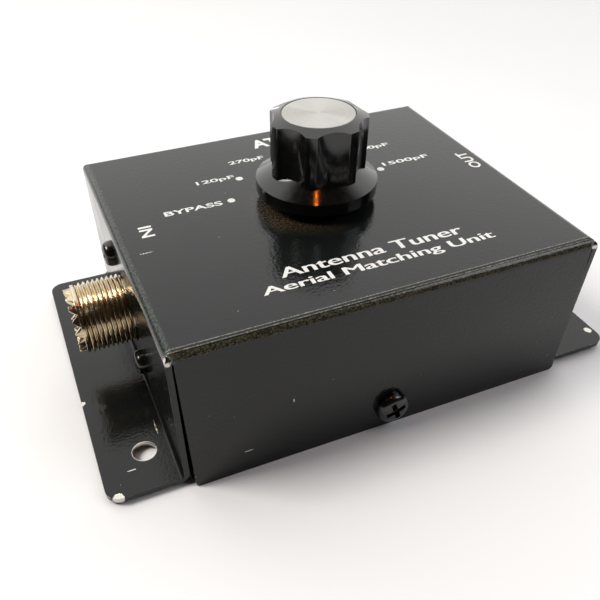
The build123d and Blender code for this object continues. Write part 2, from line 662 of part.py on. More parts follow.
with BuildPart() as line_groove:
    radial = Plane(
        origin=(SHAFT_X, SHAFT_Y, 0),
        x_dir=(cos(radians(POINTER_AT_REST)), sin(radians(POINTER_AT_REST)), 0),
        z_dir=(sin(radians(POINTER_AT_REST)), -cos(radians(POINTER_AT_REST)), 0),
    )
    with BuildSketch(radial.offset(-LINE_W / 2)):
        with BuildLine():
            crown_in = (LINE_IN, CROWN_Z + 1)
            floor_in = (LINE_IN, CROWN_Z - CROWN_DROP * (LINE_IN - CAP_R) / (GRIP_R - CAP_R) - LINE_DEPTH)
            floor_out = (GRIP_R - LINE_DEPTH, CROWN_Z - CROWN_DROP - LINE_DEPTH)
            foot_in = (GRIP_R - LINE_DEPTH, RIM_TOP + 2.0)
            Polyline(crown_in, floor_in, floor_out, foot_in, (GRIP_R + 1, RIM_TOP + 2.0),
                     (GRIP_R + 1, CROWN_Z + 1), close=True)
        make_face()
    extrude(amount=LINE_W)

with BuildPart() as knob:
    with BuildSketch(shaft_plane(KNOB_BOTTOM)):
        Circle(GRIP_R)
        with PolarLocations(FLUTE_DEPTH_R + FLUTE_R, FLUTES, start_angle=POINTER_AT_REST + 180 / FLUTES):
            Circle(FLUTE_R, mode=Mode.SUBTRACT)
        fillet(vertices(), 0.35)
    extrude(amount=CROWN_Z - KNOB_BOTTOM)
    with BuildSketch(knob_profile):
        Polygon((0, KNOB_BOTTOM), (SKIRT_R, KNOB_BOTTOM), (SKIRT_R, RIM_TOP), (CONE_TOP_R, CONE_TOP_Z),
                (0, CONE_TOP_Z), align=None)
    revolve(axis=Axis((SHAFT_X, SHAFT_Y, 0), (0, 0, 1)))
    with BuildSketch(knob_profile):
        Polygon((CAP_R + 0.2, CROWN_Z), (GRIP_R + 1, CROWN_Z + 1),
                (GRIP_R + 1, CROWN_Z - CROWN_DROP * (GRIP_R + 0.8 - CAP_R) / (GRIP_R - CAP_R)), align=None)
    revolve(axis=Axis((SHAFT_X, SHAFT_Y, 0), (0, 0, 1)), mode=Mode.SUBTRACT)
    with BuildSketch(shaft_plane(CROWN_Z)):
        Circle(CAP_R + RUNNING_GAP)
    extrude(amount=-CAP_THICK, mode=Mode.SUBTRACT)
    with BuildSketch(shaft_plane(KNOB_BOTTOM)):
        Circle(CAVITY_R)
    extrude(amount=CAVITY_TOP - KNOB_BOTTOM, mode=Mode.SUBTRACT)
    with BuildSketch(shaft_plane(CAVITY_TOP)):
        Circle(INSERT_R + HUB_FIT)
    extrude(amount=INSERT_TOP - CAVITY_TOP, mode=Mode.SUBTRACT)
    with BuildSketch(set_screw_plane):
        Circle(SET_SCREW_R + 0.1)
    extrude(amount=SKIRT_R, mode=Mode.SUBTRACT)
    add(line_groove.part, mode=Mode.SUBTRACT)
finish(knob, "knob")

with BuildPart() as pointer_line:
    with BuildSketch(knob_profile):
        Polygon((0, KNOB_BOTTOM), (GRIP_R, KNOB_BOTTOM), (GRIP_R, CROWN_Z - CROWN_DROP),
                (CAP_R + 0.2, CROWN_Z), (0, CROWN_Z), align=None)
    revolve(axis=Axis((SHAFT_X, SHAFT_Y, 0), (0, 0, 1)))
    add(line_groove.part, mode=Mode.INTERSECT)
finish(pointer_line, "pointer_line")

with BuildPart() as knob_insert:
    with BuildSketch(shaft_plane(CAVITY_TOP)):
        Circle(INSERT_R)
        Circle(SHAFT_R + HUB_FIT, mode=Mode.SUBTRACT)
    extrude(amount=INSERT_TOP - CAVITY_TOP)
    with BuildSketch(set_screw_plane):
        Circle(SET_SCREW_R + HUB_FIT)
    extrude(amount=SKIRT_R, mode=Mode.SUBTRACT)
finish(knob_insert, "knob_insert")

with BuildPart() as knob_set_screw:
    with BuildSketch(set_screw_plane.offset(SHAFT_R + HUB_FIT)):
        Circle(SET_SCREW_R)
    extrude(amount=4.8)
    with BuildSketch(set_screw_plane.offset(SHAFT_R + 4.8)):
        RegularPolygon(1.0, 6, major_radius=False)
    extrude(amount=-2.0, mode=Mode.SUBTRACT)
finish(knob_set_screw, "knob_set_screw")

with BuildPart() as knob_cap:
    with BuildSketch(shaft_plane(CROWN_Z - CAP_THICK)):
        Circle(CAP_R)
    extrude(amount=CAP_THICK)
    chamfer(knob_cap.edges().group_by(Axis.Z)[-1], 0.15)
finish(knob_cap, "knob_cap")

# ---- wiring -------------------------------------------------------------------------
BUS_R = 0.8
LEAD_R = 0.4
GROUND_Z = SOCKET_Z - SOCKET_SCREW_PITCH / 2
GROUND_RADIUS = 25.0
CAP_BODY_R = GROUND_RADIUS - BUS_R - LEAD_R
CAP_BODY_LOW = 11.5
LINE_LOW_Z = 15.0
CONTACT_INNER = WALL_IN + TAIL_BACK


def wire(points, bend, radius):
    """A round wire along straight runs joined by tangent arcs."""
    with BuildPart() as made:
        with BuildLine() as route:
            FilletPolyline(*points, radius=bend)
        start = route.wires()[0]
        with BuildSketch(Plane(origin=start @ 0, z_dir=start % 0)):
            Circle(radius)
        sweep()
    return made


cup_x = CONTACT_INNER + CUP_DEPTH - 0.5
line_wire = wire(
    [(-cup_x, 0, SOCKET_Z), (-29, 0, SOCKET_Z), (-21, 0, LINE_LOW_Z),
     (21, 0, LINE_LOW_Z), (29, 0, SOCKET_Z), (cup_x, 0, SOCKET_Z)], 6.0, BUS_R)
finish(line_wire, "line_wire")

common_x, common_y = polar(LUG_OUT - 1.2, COMMON_ANGLE)
common_wire = wire(
    [(common_x, common_y, WAFER_TOP + 2 * CONTACT_THICK), (common_x, common_y, LINE_LOW_Z),
     (common_x, -BUS_R, LINE_LOW_Z)], 3.0, LUG_HOLE_R - RUNNING_GAP)
finish(common_wire, "common_wire")

# The ground wire runs in straight facets, and each capacitor stands at the middle of one.
facet_r = GROUND_RADIUS / cos(radians(POSITION_STEP / 2))
corners = [(*polar(facet_r, angle), GROUND_Z) for angle in range(0, 151, int(POSITION_STEP))]
lug_fold_x = WALL_IN - SOCKET_FLANGE_THICK - LUG_THICK
ground_y = corners[0][1]
ground_wire = wire([(lug_fold_x - 1.0, ground_y, GROUND_Z)] + corners, 3.0, BUS_R)
finish(ground_wire, "ground_wire")

LUG_RING_R = 3.1
LUG_STRIP_W = 3.2
LUG_TAIL = 6.0
with BuildPart() as ground_lug:
    lug_face = socket_plane(1, WASHER_FACE)
    lug_x, lug_y = SCREW_CORNERS[1]
    tail_y = ground_y - BUS_R - LUG_THICK
    with BuildSketch(lug_face):
        with Locations((lug_x, lug_y)):
            Circle(LUG_RING_R)
        with Locations(((lug_x + tail_y) / 2, lug_y)):
            Rectangle(lug_x - tail_y, LUG_STRIP_W)
        with Locations((lug_x, lug_y)):
            Circle(SOCKET_SHANK_R + RUNNING_GAP, mode=Mode.SUBTRACT)
    extrude(amount=-LUG_THICK)
    with BuildSketch(Plane.XZ.offset(-tail_y - LUG_THICK)):
        with Locations((lug_fold_x + LUG_THICK - LUG_TAIL / 2, GROUND_Z)):
            Rectangle(LUG_TAIL, LUG_STRIP_W)
    extrude(amount=LUG_THICK)
finish(ground_lug, "ground_lug")

# ---- capacitors ---------------------------------------------------------------------
# Dipped mica capacitors with a lead at each end: (value in pF, width, height, thickness).
CAPACITORS = ((120, 6.0, 6.5, 3.6), (270, 6.6, 7.0, 3.8), (560, 7.4, 7.6, 4.0),
              (1000, 8.2, 8.2, 4.4), (1500, 9.0, 8.8, 4.8))
LEAD_Z = WAFER_TOP - LEAD_R
for index, (value, width, height, thick) in enumerate(CAPACITORS, start=1):
    angle = CONTACT_ANGLES[index]
    seat = Plane(origin=(*polar(CAP_BODY_R, angle), CAP_BODY_LOW),
                 x_dir=(cos(radians(angle)), sin(radians(angle)), 0), z_dir=(0, 0, 1))
    with BuildPart() as capacitor:
        with BuildSketch(seat):
            RectangleRounded(thick, width, thick * 0.3)
        extrude(amount=height)
        fillet(capacitor.edges().group_by(Axis.Z)[0] + capacitor.edges().group_by(Axis.Z)[-1], thick * 0.25)
        with BuildSketch(seat.offset(1.0)):
            Circle(LEAD_R)
        extrude(amount=-(1.0 + CAP_BODY_LOW - GROUND_Z + 1.2))
        with BuildLine() as top_lead:
            inward = seat.from_local_coords((LUG_OUT - 2.2 - CAP_BODY_R, 0, LEAD_Z - CAP_BODY_LOW))
            FilletPolyline(seat.from_local_coords((0, 0, height - 1.0)),
                           seat.from_local_coords((0, 0, LEAD_Z - CAP_BODY_LOW)), inward, radius=1.2)
        lead_path = top_lead.wires()[0]
        with BuildSketch(Plane(origin=lead_path @ 0, z_dir=lead_path % 0)):
            Circle(LEAD_R)
        sweep(path=lead_path)
    finish(capacitor, f"capacitor_{value}pf")
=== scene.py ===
# %% [markdown]
# # An antenna matching box
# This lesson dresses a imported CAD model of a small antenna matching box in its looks.
# The box is a folded steel cover in black baked enamel, with a threaded coaxial socket in
# each end wall and one fluted knob. The CAD gives every shape and place. Here each piece
# gets its finish, and the pieces whose fine detail the CAD leaves out are made again.

import bmesh
import bpy
import json
from math import cos, pi, radians, sin
from mathutils import Matrix, Quaternion, Vector

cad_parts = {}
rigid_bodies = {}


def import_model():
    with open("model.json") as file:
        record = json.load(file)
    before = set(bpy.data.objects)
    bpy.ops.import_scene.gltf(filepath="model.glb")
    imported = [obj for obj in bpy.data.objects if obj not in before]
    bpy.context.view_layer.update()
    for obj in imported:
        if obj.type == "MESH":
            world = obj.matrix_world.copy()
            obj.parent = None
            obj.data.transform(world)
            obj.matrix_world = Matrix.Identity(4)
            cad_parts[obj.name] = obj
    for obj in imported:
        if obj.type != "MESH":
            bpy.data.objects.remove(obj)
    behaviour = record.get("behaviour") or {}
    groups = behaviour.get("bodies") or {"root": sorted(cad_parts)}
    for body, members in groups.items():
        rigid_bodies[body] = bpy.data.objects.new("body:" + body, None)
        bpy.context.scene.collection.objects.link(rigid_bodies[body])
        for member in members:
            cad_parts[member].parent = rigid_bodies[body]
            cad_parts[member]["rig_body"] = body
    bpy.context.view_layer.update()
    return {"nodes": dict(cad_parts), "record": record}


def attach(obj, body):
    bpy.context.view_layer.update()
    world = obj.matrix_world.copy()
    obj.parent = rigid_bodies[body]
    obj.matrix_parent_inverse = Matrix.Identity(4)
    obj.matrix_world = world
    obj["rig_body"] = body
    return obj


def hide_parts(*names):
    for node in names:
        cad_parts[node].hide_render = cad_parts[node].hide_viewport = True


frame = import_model()
nodes = frame["nodes"]
MM = 0.001
# Several cells share the top's height in mm and, in metres, the shaft's place and the distance
# within which points become one.
TOP_Z = 36.0
SHAFT = Vector((0.0, 1.5, 0.0)) * MM
MERGE = 0.002 * MM

# %% [markdown]
# ## The camera
# A tuner lies flat on a bench, so it is looked at from above and a little to the left.
# A camera could be aimed with a constraint, but a fixed place and direction are simpler
# and can't drift. The lens is short and close, which gives the strong perspective.

# %% Camera
CAMERA_AT = Vector((-59.4, -121.7, 111.5)) * MM
CAMERA_LOOK = Vector((0.2755, 0.6644, -0.6947))
CAMERA_ROLL = radians(-0.27)
camera_data = bpy.data.cameras.new("bench_camera")
camera_data.lens = 38.8
camera_data.sensor_width = 36.0
camera_data.shift_x = 0.0273
camera_data.shift_y = 0.1147
camera_data.clip_start = 5 * MM
camera = bpy.data.objects.new("bench_camera", camera_data)
bpy.context.collection.objects.link(camera)
camera.location = CAMERA_AT
camera.rotation_mode = "QUATERNION"
camera.rotation_quaternion = CAMERA_LOOK.to_track_quat("-Z", "Y") @ Quaternion((0, 0, 1), CAMERA_ROLL)
bpy.context.scene.camera = camera
print("camera", camera_data.lens, "mm lens")

# %% [markdown]
# ## Colours and nodes
# Colours are written as the hex values a painter would pick on screen. Blender works in
# linear light, so one function turns them. A second function adds a node to a tree, sets
# its properties and fills or links its inputs, so that a finish reads as a short list.

# %% Two helpers for every finish
def paint(code):
    """The linear colour of an sRGB hex value."""
    parts = [int(code[i:i + 2], 16) / 255 for i in (1, 3, 5)]
    linear = [c / 12.92 if c <= 0.04045 else ((c + 0.055) / 1.055) ** 2.4 for c in parts]
    return (*linear, 1.0)


def add(tree, kind, links=None, **settings):
    """Add one node, set its properties, and fill or link its inputs."""
    made = tree.nodes.new(kind)
    for name, value in settings.items():
        setattr(made, name, value)
    for socket, value in (links or {}).items():
        if isinstance(value, bpy.types.NodeSocket):
            tree.links.new(value, made.inputs[socket])
        else:
            made.inputs[socket].default_value = value
    return made


def finish_named(name, roughness, metallic=0.0, **sockets):
    """A new material with its shader's fixed values set, and its node tree and Object coordinates."""
    made = bpy.data.materials.new(name)
    made.use_nodes = True
    shader = made.node_tree.nodes["Principled BSDF"]
    shader.inputs["Roughness"].default_value = roughness
    shader.inputs["Metallic"].default_value = metallic
    for socket, value in sockets.items():
        shader.inputs[socket.replace("_", " ")].default_value = value
    here = add(made.node_tree, "ShaderNodeTexCoord").outputs["Object"]
    return made, made.node_tree, shader, here


print("black enamel in linear light", [round(c, 4) for c in paint("#1B1B1D")])

# %% [markdown]
# ## Black baked enamel
# The cover is mild steel sprayed with black enamel and baked. The paint flows before it
# sets and leaves orange peel, a soft ripple just under a millimetre across, so reflections
# in it wobble. On edges the film is thin and handling chips it to bright steel. A bump from
# noise makes the peel. The chips use the "worn_edge" attribute that the eased edges carry,
# broken up by noise, and a few places that take the most knocks are chipped harder. A painted
# brown reflection round the knob, painted reflections and highlights on the bends, and dust
# are tints laid over the coat one after the other.

# %% Finish of the cover
def spot(tree, here, centre, radius, squash=(1, 1, 1)):
    """A mask, 1 at a point in mm and 0 from this radius on. A small squash makes it long that way."""
    offset = add(tree, "ShaderNodeVectorMath", {0: here, 1: Vector(centre) * MM}, operation="SUBTRACT")
    squashed = add(tree, "ShaderNodeVectorMath", {0: offset.outputs[0], 1: squash}, operation="MULTIPLY")
    length = add(tree, "ShaderNodeVectorMath", {0: squashed.outputs[0]}, operation="LENGTH")
    away = length.outputs["Value"]
    return add(tree, "ShaderNodeMapRange", {0: away, 1: 0.0, 2: radius * MM, 3: 1.0, 4: 0.0}).outputs[0]


enamel, tree, shader, here = finish_named("black_baked_enamel", 0.12, IOR=1.4)
peel = add(tree, "ShaderNodeTexNoise", {"Vector": here, "Scale": 1 / (0.75 * MM), "Detail": 2.0})
fine = add(tree, "ShaderNodeTexNoise", {"Vector": here, "Scale": 1 / (0.35 * MM), "Detail": 3.0})
film = add(tree, "ShaderNodeTexNoise", {"Vector": here, "Scale": 1 / (9 * MM), "Detail": 5.0})
breakup = add(tree, "ShaderNodeTexNoise",
            {"Vector": here, "Scale": 1 / (1.6 * MM), "Detail": 6.0, "Roughness": 0.7})
# Dust: a round speck up to a third of a millimetre wide in one cell out of fourteen.
cells = add(tree, "ShaderNodeTexVoronoi", {"Vector": here, "Scale": 1 / (2.4 * MM)})
speck = add(tree, "ShaderNodeMath", {0: cells.outputs["Distance"], 1: 0.07}, operation="LESS_THAN")
chance = add(tree, "ShaderNodeSeparateColor", {"Color": cells.outputs["Color"]})
chosen = add(tree, "ShaderNodeMath", {0: chance.outputs[0], 1: 0.93}, operation="GREATER_THAN")
specks = add(tree, "ShaderNodeMath", {0: speck.outputs[0], 1: chosen.outputs[0]}, operation="MULTIPLY")
coat = add(tree, "ShaderNodeMix", {0: film.outputs["Fac"], 6: paint("#0E1110"), 7: paint("#171A19")},
           data_type="RGBA")
dusty = add(tree, "ShaderNodeMix", {0: specks.outputs[0], 6: coat.outputs[2], 7: paint("#6A6964")},
            data_type="RGBA")
# A painted brown reflection of the knob lies in a ring round its foot, strongest at front and left.
REFLECTION_RING = (14, 18.5)
REFLECTION_STRONGEST = (-13, -6, TOP_Z)
REFLECTION_REACH = 17
from_shaft = add(tree, "ShaderNodeVectorMath", {0: here, 1: SHAFT}, operation="SUBTRACT")
level = add(tree, "ShaderNodeVectorMath", {0: from_shaft.outputs[0], 1: (1, 1, 0)}, operation="MULTIPLY")
reach = add(tree, "ShaderNodeVectorMath", {0: level.outputs[0]}, operation="LENGTH")
ring = add(tree, "ShaderNodeMapRange",
           {0: reach.outputs["Value"], 1: REFLECTION_RING[0] * MM, 2: REFLECTION_RING[1] * MM, 3: 1.0, 4: 0.0})
reached = spot(tree, here, REFLECTION_STRONGEST, REFLECTION_REACH)
ringed = add(tree, "ShaderNodeMath", {0: ring.outputs[0], 1: reached}, operation="MULTIPLY")
patchy = add(tree, "ShaderNodeMapRange", {0: fine.outputs["Fac"], 1: 0.42, 2: 0.68, 3: 0.0, 4: 1.0})
knob_reflection = add(tree, "ShaderNodeMath", {0: ringed.outputs[0], 1: patchy.outputs[0]}, operation="MULTIPLY")
# The ring's painted brown reflection is mixed over the coat and its dust here.
knob_reflected = add(tree, "ShaderNodeMix", {0: knob_reflection.outputs[0], 6: dusty.outputs[2], 7: paint("#5E4C30")},
              data_type="RGBA")
# Round the bends a painted reflection lies in a band, and painted highlights in two broken lines.
# Each bend starts this far out from the box's middle, and turns about a line at this height.
BEND_Z = 33.9
FRONT_BEND_Y = 37.15
LEFT_BEND_X = 45.4
signed = add(tree, "ShaderNodeSeparateXYZ", {0: here}).outputs
rise = add(tree, "ShaderNodeMath", {0: signed["Z"], 1: BEND_Z * MM}, operation="SUBTRACT")


def round_bend(run, start, stops, amount):
    """A mask between four angles in degrees round a bend, which runs up from a face to the top."""
    past = add(tree, "ShaderNodeMath", {0: run, 1: start * MM}, operation="SUBTRACT")
    turned = add(tree, "ShaderNodeMath", {0: rise.outputs[0], 1: past.outputs[0]}, operation="ARCTAN2")
    on, full, still, off = (radians(stop) for stop in stops)
    begin = add(tree, "ShaderNodeMapRange", {0: turned.outputs[0], 1: on, 2: full, 3: 0.0, 4: 1.0})
    end = add(tree, "ShaderNodeMapRange", {0: turned.outputs[0], 1: still, 2: off, 3: 1.0, 4: 0.0})
    both = add(tree, "ShaderNodeMath", {0: begin.outputs[0], 1: end.outputs[0]}, operation="MULTIPLY")
    within = add(tree, "ShaderNodeMath", {0: past.outputs[0], 1: 0.0}, operation="GREATER_THAN")
    kept = add(tree, "ShaderNodeMath", {0: both.outputs[0], 1: within.outputs[0]}, operation="MULTIPLY")
    return add(tree, "ShaderNodeMath", {0: kept.outputs[0], 1: amount}, operation="MULTIPLY").outputs[0]


sparse = add(tree, "ShaderNodeMapRange",
             {0: fine.outputs["Fac"], 1: 0.42, 2: 0.62, 3: 0.1, 4: 0.8}).outputs[0]
broken = add(tree, "ShaderNodeMath", {0: breakup.outputs["Fac"], 1: sparse, 2: 0.1},
             operation="MULTIPLY_ADD").outputs[0]
ahead = add(tree, "ShaderNodeMath", {0: signed["Y"], 1: -1.0}, operation="MULTIPLY").outputs[0]
# The front bend's olive band is a painted reflection, and its two pale lines are painted highlights.
olive_reflection = round_bend(ahead, FRONT_BEND_Y, (8, 22, 52, 60), sparse)
lower_highlight = round_bend(ahead, FRONT_BEND_Y, (60, 64, 66, 70), broken)
upper_highlight = round_bend(ahead, FRONT_BEND_Y, (79, 82, 84, 88), broken)
bend_highlights = add(tree, "ShaderNodeMath", {0: lower_highlight, 1: upper_highlight}, operation="MAXIMUM")
leftward = add(tree, "ShaderNodeMath", {0: signed["X"], 1: -1.0}, operation="MULTIPLY").outputs[0]
# The left bend's green band is a painted reflection.
green_reflection = round_bend(leftward, LEFT_BEND_X, (20, 40, 75, 88), sparse)
# The painted reflections and painted highlights are mixed over the coat in turn.
reflected_band = add(tree, "ShaderNodeMix", {0: olive_reflection, 6: knob_reflected.outputs[2], 7: paint("#5C5745")},
                  data_type="RGBA")
green_reflected = add(tree, "ShaderNodeMix", {0: green_reflection, 6: reflected_band.outputs[2], 7: paint("#4C524E")},
                 data_type="RGBA")
highlighted = add(tree, "ShaderNodeMix", {0: bend_highlights.outputs[0], 6: green_reflected.outputs[2], 7: paint("#C8C5BA")},
            data_type="RGBA")
# Worn places, each a point, a radius and a squash: the two front top corners, the flanges' front
# corners and left edge, the foot of the front flap's left end, and long ones down the walls'
# front edges and along the flanges' front edges.
ROUND = (1, 1, 1)
KNOCKED = (
    ((-46.9, -39.1, 34.9), 3.8, ROUND), ((46.9, -39.1, 34.9), 4.0, ROUND),
    ((-61.5, -39.2, 2.0), 5.0, ROUND), ((62.0, -34.5, 2.0), 3.4, ROUND),
    ((-63.5, -10.0, 2.2), 3.0, ROUND), ((-46.3, -40.7, 1.0), 3.0, ROUND),
    ((-48.4, -40.2, 17.0), 2.2, (1, 1, 0.03)), ((48.4, -40.2, 17.0), 2.2, (1, 1, 0.03)),
    ((-55.5, -40.2, 3.1), 2.2, (0.05, 1, 1)), ((55.5, -40.2, 3.1), 2.2, (0.05, 1, 1)),
)
knocked = 0.0
for centre, radius, squash in KNOCKED:
    worn = spot(tree, here, centre, radius, squash)
    knocked = add(tree, "ShaderNodeMath", {0: worn, 1: knocked}, operation="MAXIMUM").outputs[0]
# Scratches cut to the steel, and the four flange holes are bare inside, where screws have been.
SCRATCHES = (
    ((-49.5, -23.2, 2.2), 0.26, (1, 0.08, 1)), ((-42.3, -6.7, TOP_Z), 0.13, (0.06, 1, 1)),
    ((-57.2, -33.0, 2.2), 0.2, (0.14, 1, 1)), ((-33.6, -40.5, 5.9), 0.2, (0.13, 1, 1)),
    ((-23.3, -40.0, 16.4), 0.18, (1, 1, 0.25)),
)
HOLE_AT = (53.5, 29.0, 1.6)
HOLE_FADE = 6.0
bare = 0.0
for centre, radius, squash in SCRATCHES:
    scratch = spot(tree, here, centre, radius, squash)
    bare = add(tree, "ShaderNodeMath", {0: scratch, 1: bare}, operation="MAXIMUM").outputs[0]
# The four holes lie alike, so one mask serves them all in coordinates without their signs. It
# passes 0.55 at 2.7 mm from a hole's middle, which is just outside its rim.
mirrored = add(tree, "ShaderNodeVectorMath", {0: here}, operation="ABSOLUTE")
hole = spot(tree, mirrored.outputs[0], HOLE_AT, HOLE_FADE, (1, 1, 0))
in_hole = add(tree, "ShaderNodeMapRange", {0: hole, 1: 0.545, 2: 0.56, 3: 0.0, 4: 1.0})
bare = add(tree, "ShaderNodeMath", {0: in_hole.outputs[0], 1: bare}, operation="MAXIMUM").outputs[0]
worn_edge = add(tree, "ShaderNodeAttribute", attribute_name="worn_edge")
exposed = add(tree, "ShaderNodeMath", {0: knocked, 1: 0.9, 2: 0.42}, operation="MULTIPLY_ADD")
thin = add(tree, "ShaderNodeMath", {0: worn_edge.outputs["Fac"], 1: exposed.outputs[0]},
           operation="MULTIPLY")
deep = add(tree, "ShaderNodeMath", {0: knocked, 1: 2.4, 2: -1.1}, operation="MULTIPLY_ADD")
either = add(tree, "ShaderNodeMath", {0: thin.outputs[0], 1: deep.outputs[0]}, operation="MAXIMUM")
rubbed = add(tree, "ShaderNodeMath", {0: either.outputs[0], 1: breakup.outputs["Fac"]},
             operation="MULTIPLY")
cut = add(tree, "ShaderNodeMath", {0: rubbed.outputs[0], 1: bare}, operation="MAXIMUM")
chipped = add(tree, "ShaderNodeMapRange", {0: cut.outputs[0], 1: 0.30, 2: 0.36, 3: 0.0, 4: 1.0})
shown = add(tree, "ShaderNodeMix", {0: chipped.outputs[0], 6: highlighted.outputs[2], 7: paint("#C9C6BF")},
            data_type="RGBA")
gloss = add(tree, "ShaderNodeMapRange", {0: film.outputs["Fac"], 1: 0.3, 2: 0.7, 3: 0.10, 4: 0.18})
dulled = add(tree, "ShaderNodeMath", {0: knob_reflection.outputs[0], 1: 0.5, 2: gloss.outputs[0]},
             operation="MULTIPLY_ADD")
ripple = add(tree, "ShaderNodeBump",
             {"Height": peel.outputs["Fac"], "Strength": 0.6, "Distance": 0.08 * MM})
relief = add(tree, "ShaderNodeBump",
             {"Height": chipped.outputs[0], "Strength": 0.6, "Distance": 0.06 * MM,
              "Normal": ripple.outputs[0]}, invert=True)
tree.links.new(shown.outputs[2], shader.inputs["Base Color"])
tree.links.new(chipped.outputs[0], shader.inputs["Metallic"])
tree.links.new(dulled.outputs[0], shader.inputs["Roughness"])
tree.links.new(relief.outputs[0], shader.inputs["Normal"])
print("enamel has", len(tree.nodes), "nodes")

# %% [markdown]
# ## Metals
# Six metals show or hide in this box, and they differ in colour and in how they were
# made. Nickel plate is warm and nearly a mirror, and dirt gathers in its thread. Zinc
# plate is a soft grey with a faint grain. One function builds the common tree, which is a
# tint and a roughness that both drift with noise over a fine grain, and each metal gives
# its own colours and sizes. A metal keeps the shader's own IOR.

# %% Finishes of the metals
def metal(name, bright, dull, smooth, rough, grain, depth, stretch=(1.0, 1.0, 1.0)):
    """A metal that drifts from a bright tint to a dull one, with a grain size and depth in mm."""
    made, tree, shader, here = finish_named(name, smooth, metallic=1.0)
    laid = add(tree, "ShaderNodeMapping", {"Vector": here, "Scale": stretch})
    drift = add(tree, "ShaderNodeTexNoise", {"Vector": here, "Scale": 1 / (4 * MM), "Detail": 5.0})
    fine = add(tree, "ShaderNodeTexNoise",
               {"Vector": laid.outputs[0], "Scale": 1 / (grain * MM), "Detail": 3.0})
    tint = add(tree, "ShaderNodeMix", {0: drift.outputs["Fac"], 6: paint(bright), 7: paint(dull)},
               data_type="RGBA")
    sheen = add(tree, "ShaderNodeMapRange", {0: fine.outputs["Fac"], 1: 0.3, 2: 0.7, 3: smooth, 4: rough})
    bump = add(tree, "ShaderNodeBump",
               {"Height": fine.outputs["Fac"], "Strength": 0.4, "Distance": depth * MM})
    tree.links.new(tint.outputs[2], shader.inputs["Base Color"])
    tree.links.new(sheen.outputs[0], shader.inputs["Roughness"])
    tree.links.new(bump.outputs[0], shader.inputs["Normal"])
    return made


nickel = metal("nickel_plate", "#E6DBC4", "#B39C78", 0.14, 0.26, 0.6, 0.008)
zinc = metal("bright_zinc_plating", "#C3C6C9", "#8F9296", 0.35, 0.5, 0.5, 0.01, (1, 12, 1))
steel = metal("polished_steel", "#B9BABB", "#8C8D8F", 0.2, 0.34, 0.3, 0.006)
silver = metal("silver_plating", "#E8E4DA", "#B7A986", 0.2, 0.36, 0.4, 0.006)
brass = metal("turned_brass", "#D9B36A", "#A57F3E", 0.22, 0.38, 0.25, 0.008, (1, 1, 10))
tinned = metal("tinned_copper_wire", "#D6D2C8", "#A79B86", 0.28, 0.42, 0.35, 0.006)

# Black oxide on the screws is a thin dark skin over steel, so it stays dark but glints.
oxide, tree, shader, here = finish_named("black_oxide", 0.22, IOR=1.6)
bloom = add(tree, "ShaderNodeTexNoise", {"Vector": here, "Scale": 1 / (0.7 * MM), "Detail": 5.0})
skin = add(tree, "ShaderNodeMix", {0: bloom.outputs["Fac"], 6: paint("#070708"), 7: paint("#131313")},
           data_type="RGBA")
worn_edge = add(tree, "ShaderNodeAttribute", attribute_name="worn_edge")
driven = add(tree, "ShaderNodeMath", {0: worn_edge.outputs["Fac"], 1: bloom.outputs["Fac"]},
             operation="MULTIPLY")
bared = add(tree, "ShaderNodeMapRange", {0: driven.outputs[0], 1: 0.6, 2: 0.75, 3: 0.0, 4: 1.0})
seen = add(tree, "ShaderNodeMix", {0: bared.outputs[0], 6: skin.outputs[2], 7: paint("#6C6A66")},
           data_type="RGBA")
pitted = add(tree, "ShaderNodeBump",
             {"Height": bloom.outputs["Fac"], "Strength": 0.4, "Distance": 0.02 * MM})
tree.links.new(seen.outputs[2], shader.inputs["Base Color"])
tree.links.new(pitted.outputs[0], shader.inputs["Normal"])
print([m.name for m in (nickel, zinc, steel, silver, brass, tinned, oxide)])

# %% [markdown]
# ## Spun aluminium
# The inlay in the knob's crown is a disc that was faced on a lathe. The tool leaves fine
# rings, and rings throw light in two opposite fans, the bow tie. Rings fine enough are too
# small to draw, so the shader's anisotropy does it, with its tangent turned round the
# disc's centre. Coarser rings, 0.3 mm apart, are drawn as a tint and a bump on top.

# %% Finish of the crown inlay
RING_GAP = 0.3
spun, tree, shader, here = finish_named("spun_aluminium_facing", 0.3, metallic=1.0, Anisotropic=0.85)
from_centre = add(tree, "ShaderNodeVectorMath", {0: here, 1: SHAFT}, operation="SUBTRACT")
flat = add(tree, "ShaderNodeVectorMath", {0: from_centre.outputs[0], 1: (1, 1, 0)}, operation="MULTIPLY")
reach = add(tree, "ShaderNodeVectorMath", {0: flat.outputs[0]}, operation="LENGTH")
round_it = add(tree, "ShaderNodeVectorMath", {0: (0, 0, 1), 1: flat.outputs[0]},
               operation="CROSS_PRODUCT")
tangent = add(tree, "ShaderNodeVectorTransform", {0: round_it.outputs[0]},
              vector_type="VECTOR", convert_from="OBJECT", convert_to="WORLD")
ring_number = add(tree, "ShaderNodeMath", {0: reach.outputs["Value"], 1: 1 / (RING_GAP * MM)},
                  operation="MULTIPLY")
rings = add(tree, "ShaderNodeTexNoise", {"W": ring_number.outputs[0], "Scale": 1.0, "Detail": 3.0},
            noise_dimensions="1D")
tone = add(tree, "ShaderNodeMix", {0: rings.outputs["Fac"], 6: paint("#A2A09A"), 7: paint("#BEBCB6")},
           data_type="RGBA")
cut = add(tree, "ShaderNodeBump",
          {"Height": rings.outputs["Fac"], "Strength": 0.25, "Distance": 0.01 * MM})
tree.links.new(tone.outputs[2], shader.inputs["Base Color"])
tree.links.new(cut.outputs[0], shader.inputs["Normal"])
tree.links.new(tangent.outputs[0], shader.inputs["Tangent"])
print("spun rings every", RING_GAP, "mm")

# %% [markdown]
# ## Moulded plastics and board
# The knob is moulded phenolic, black right through, glossy where the mould was polished
# and greyed by handling. The socket insulators, the switch wafer and the dipped
# capacitors are each a body colour that drifts a little over a slight surface texture, so
# one function builds them. The white of the lettering and the pointer is screen ink.

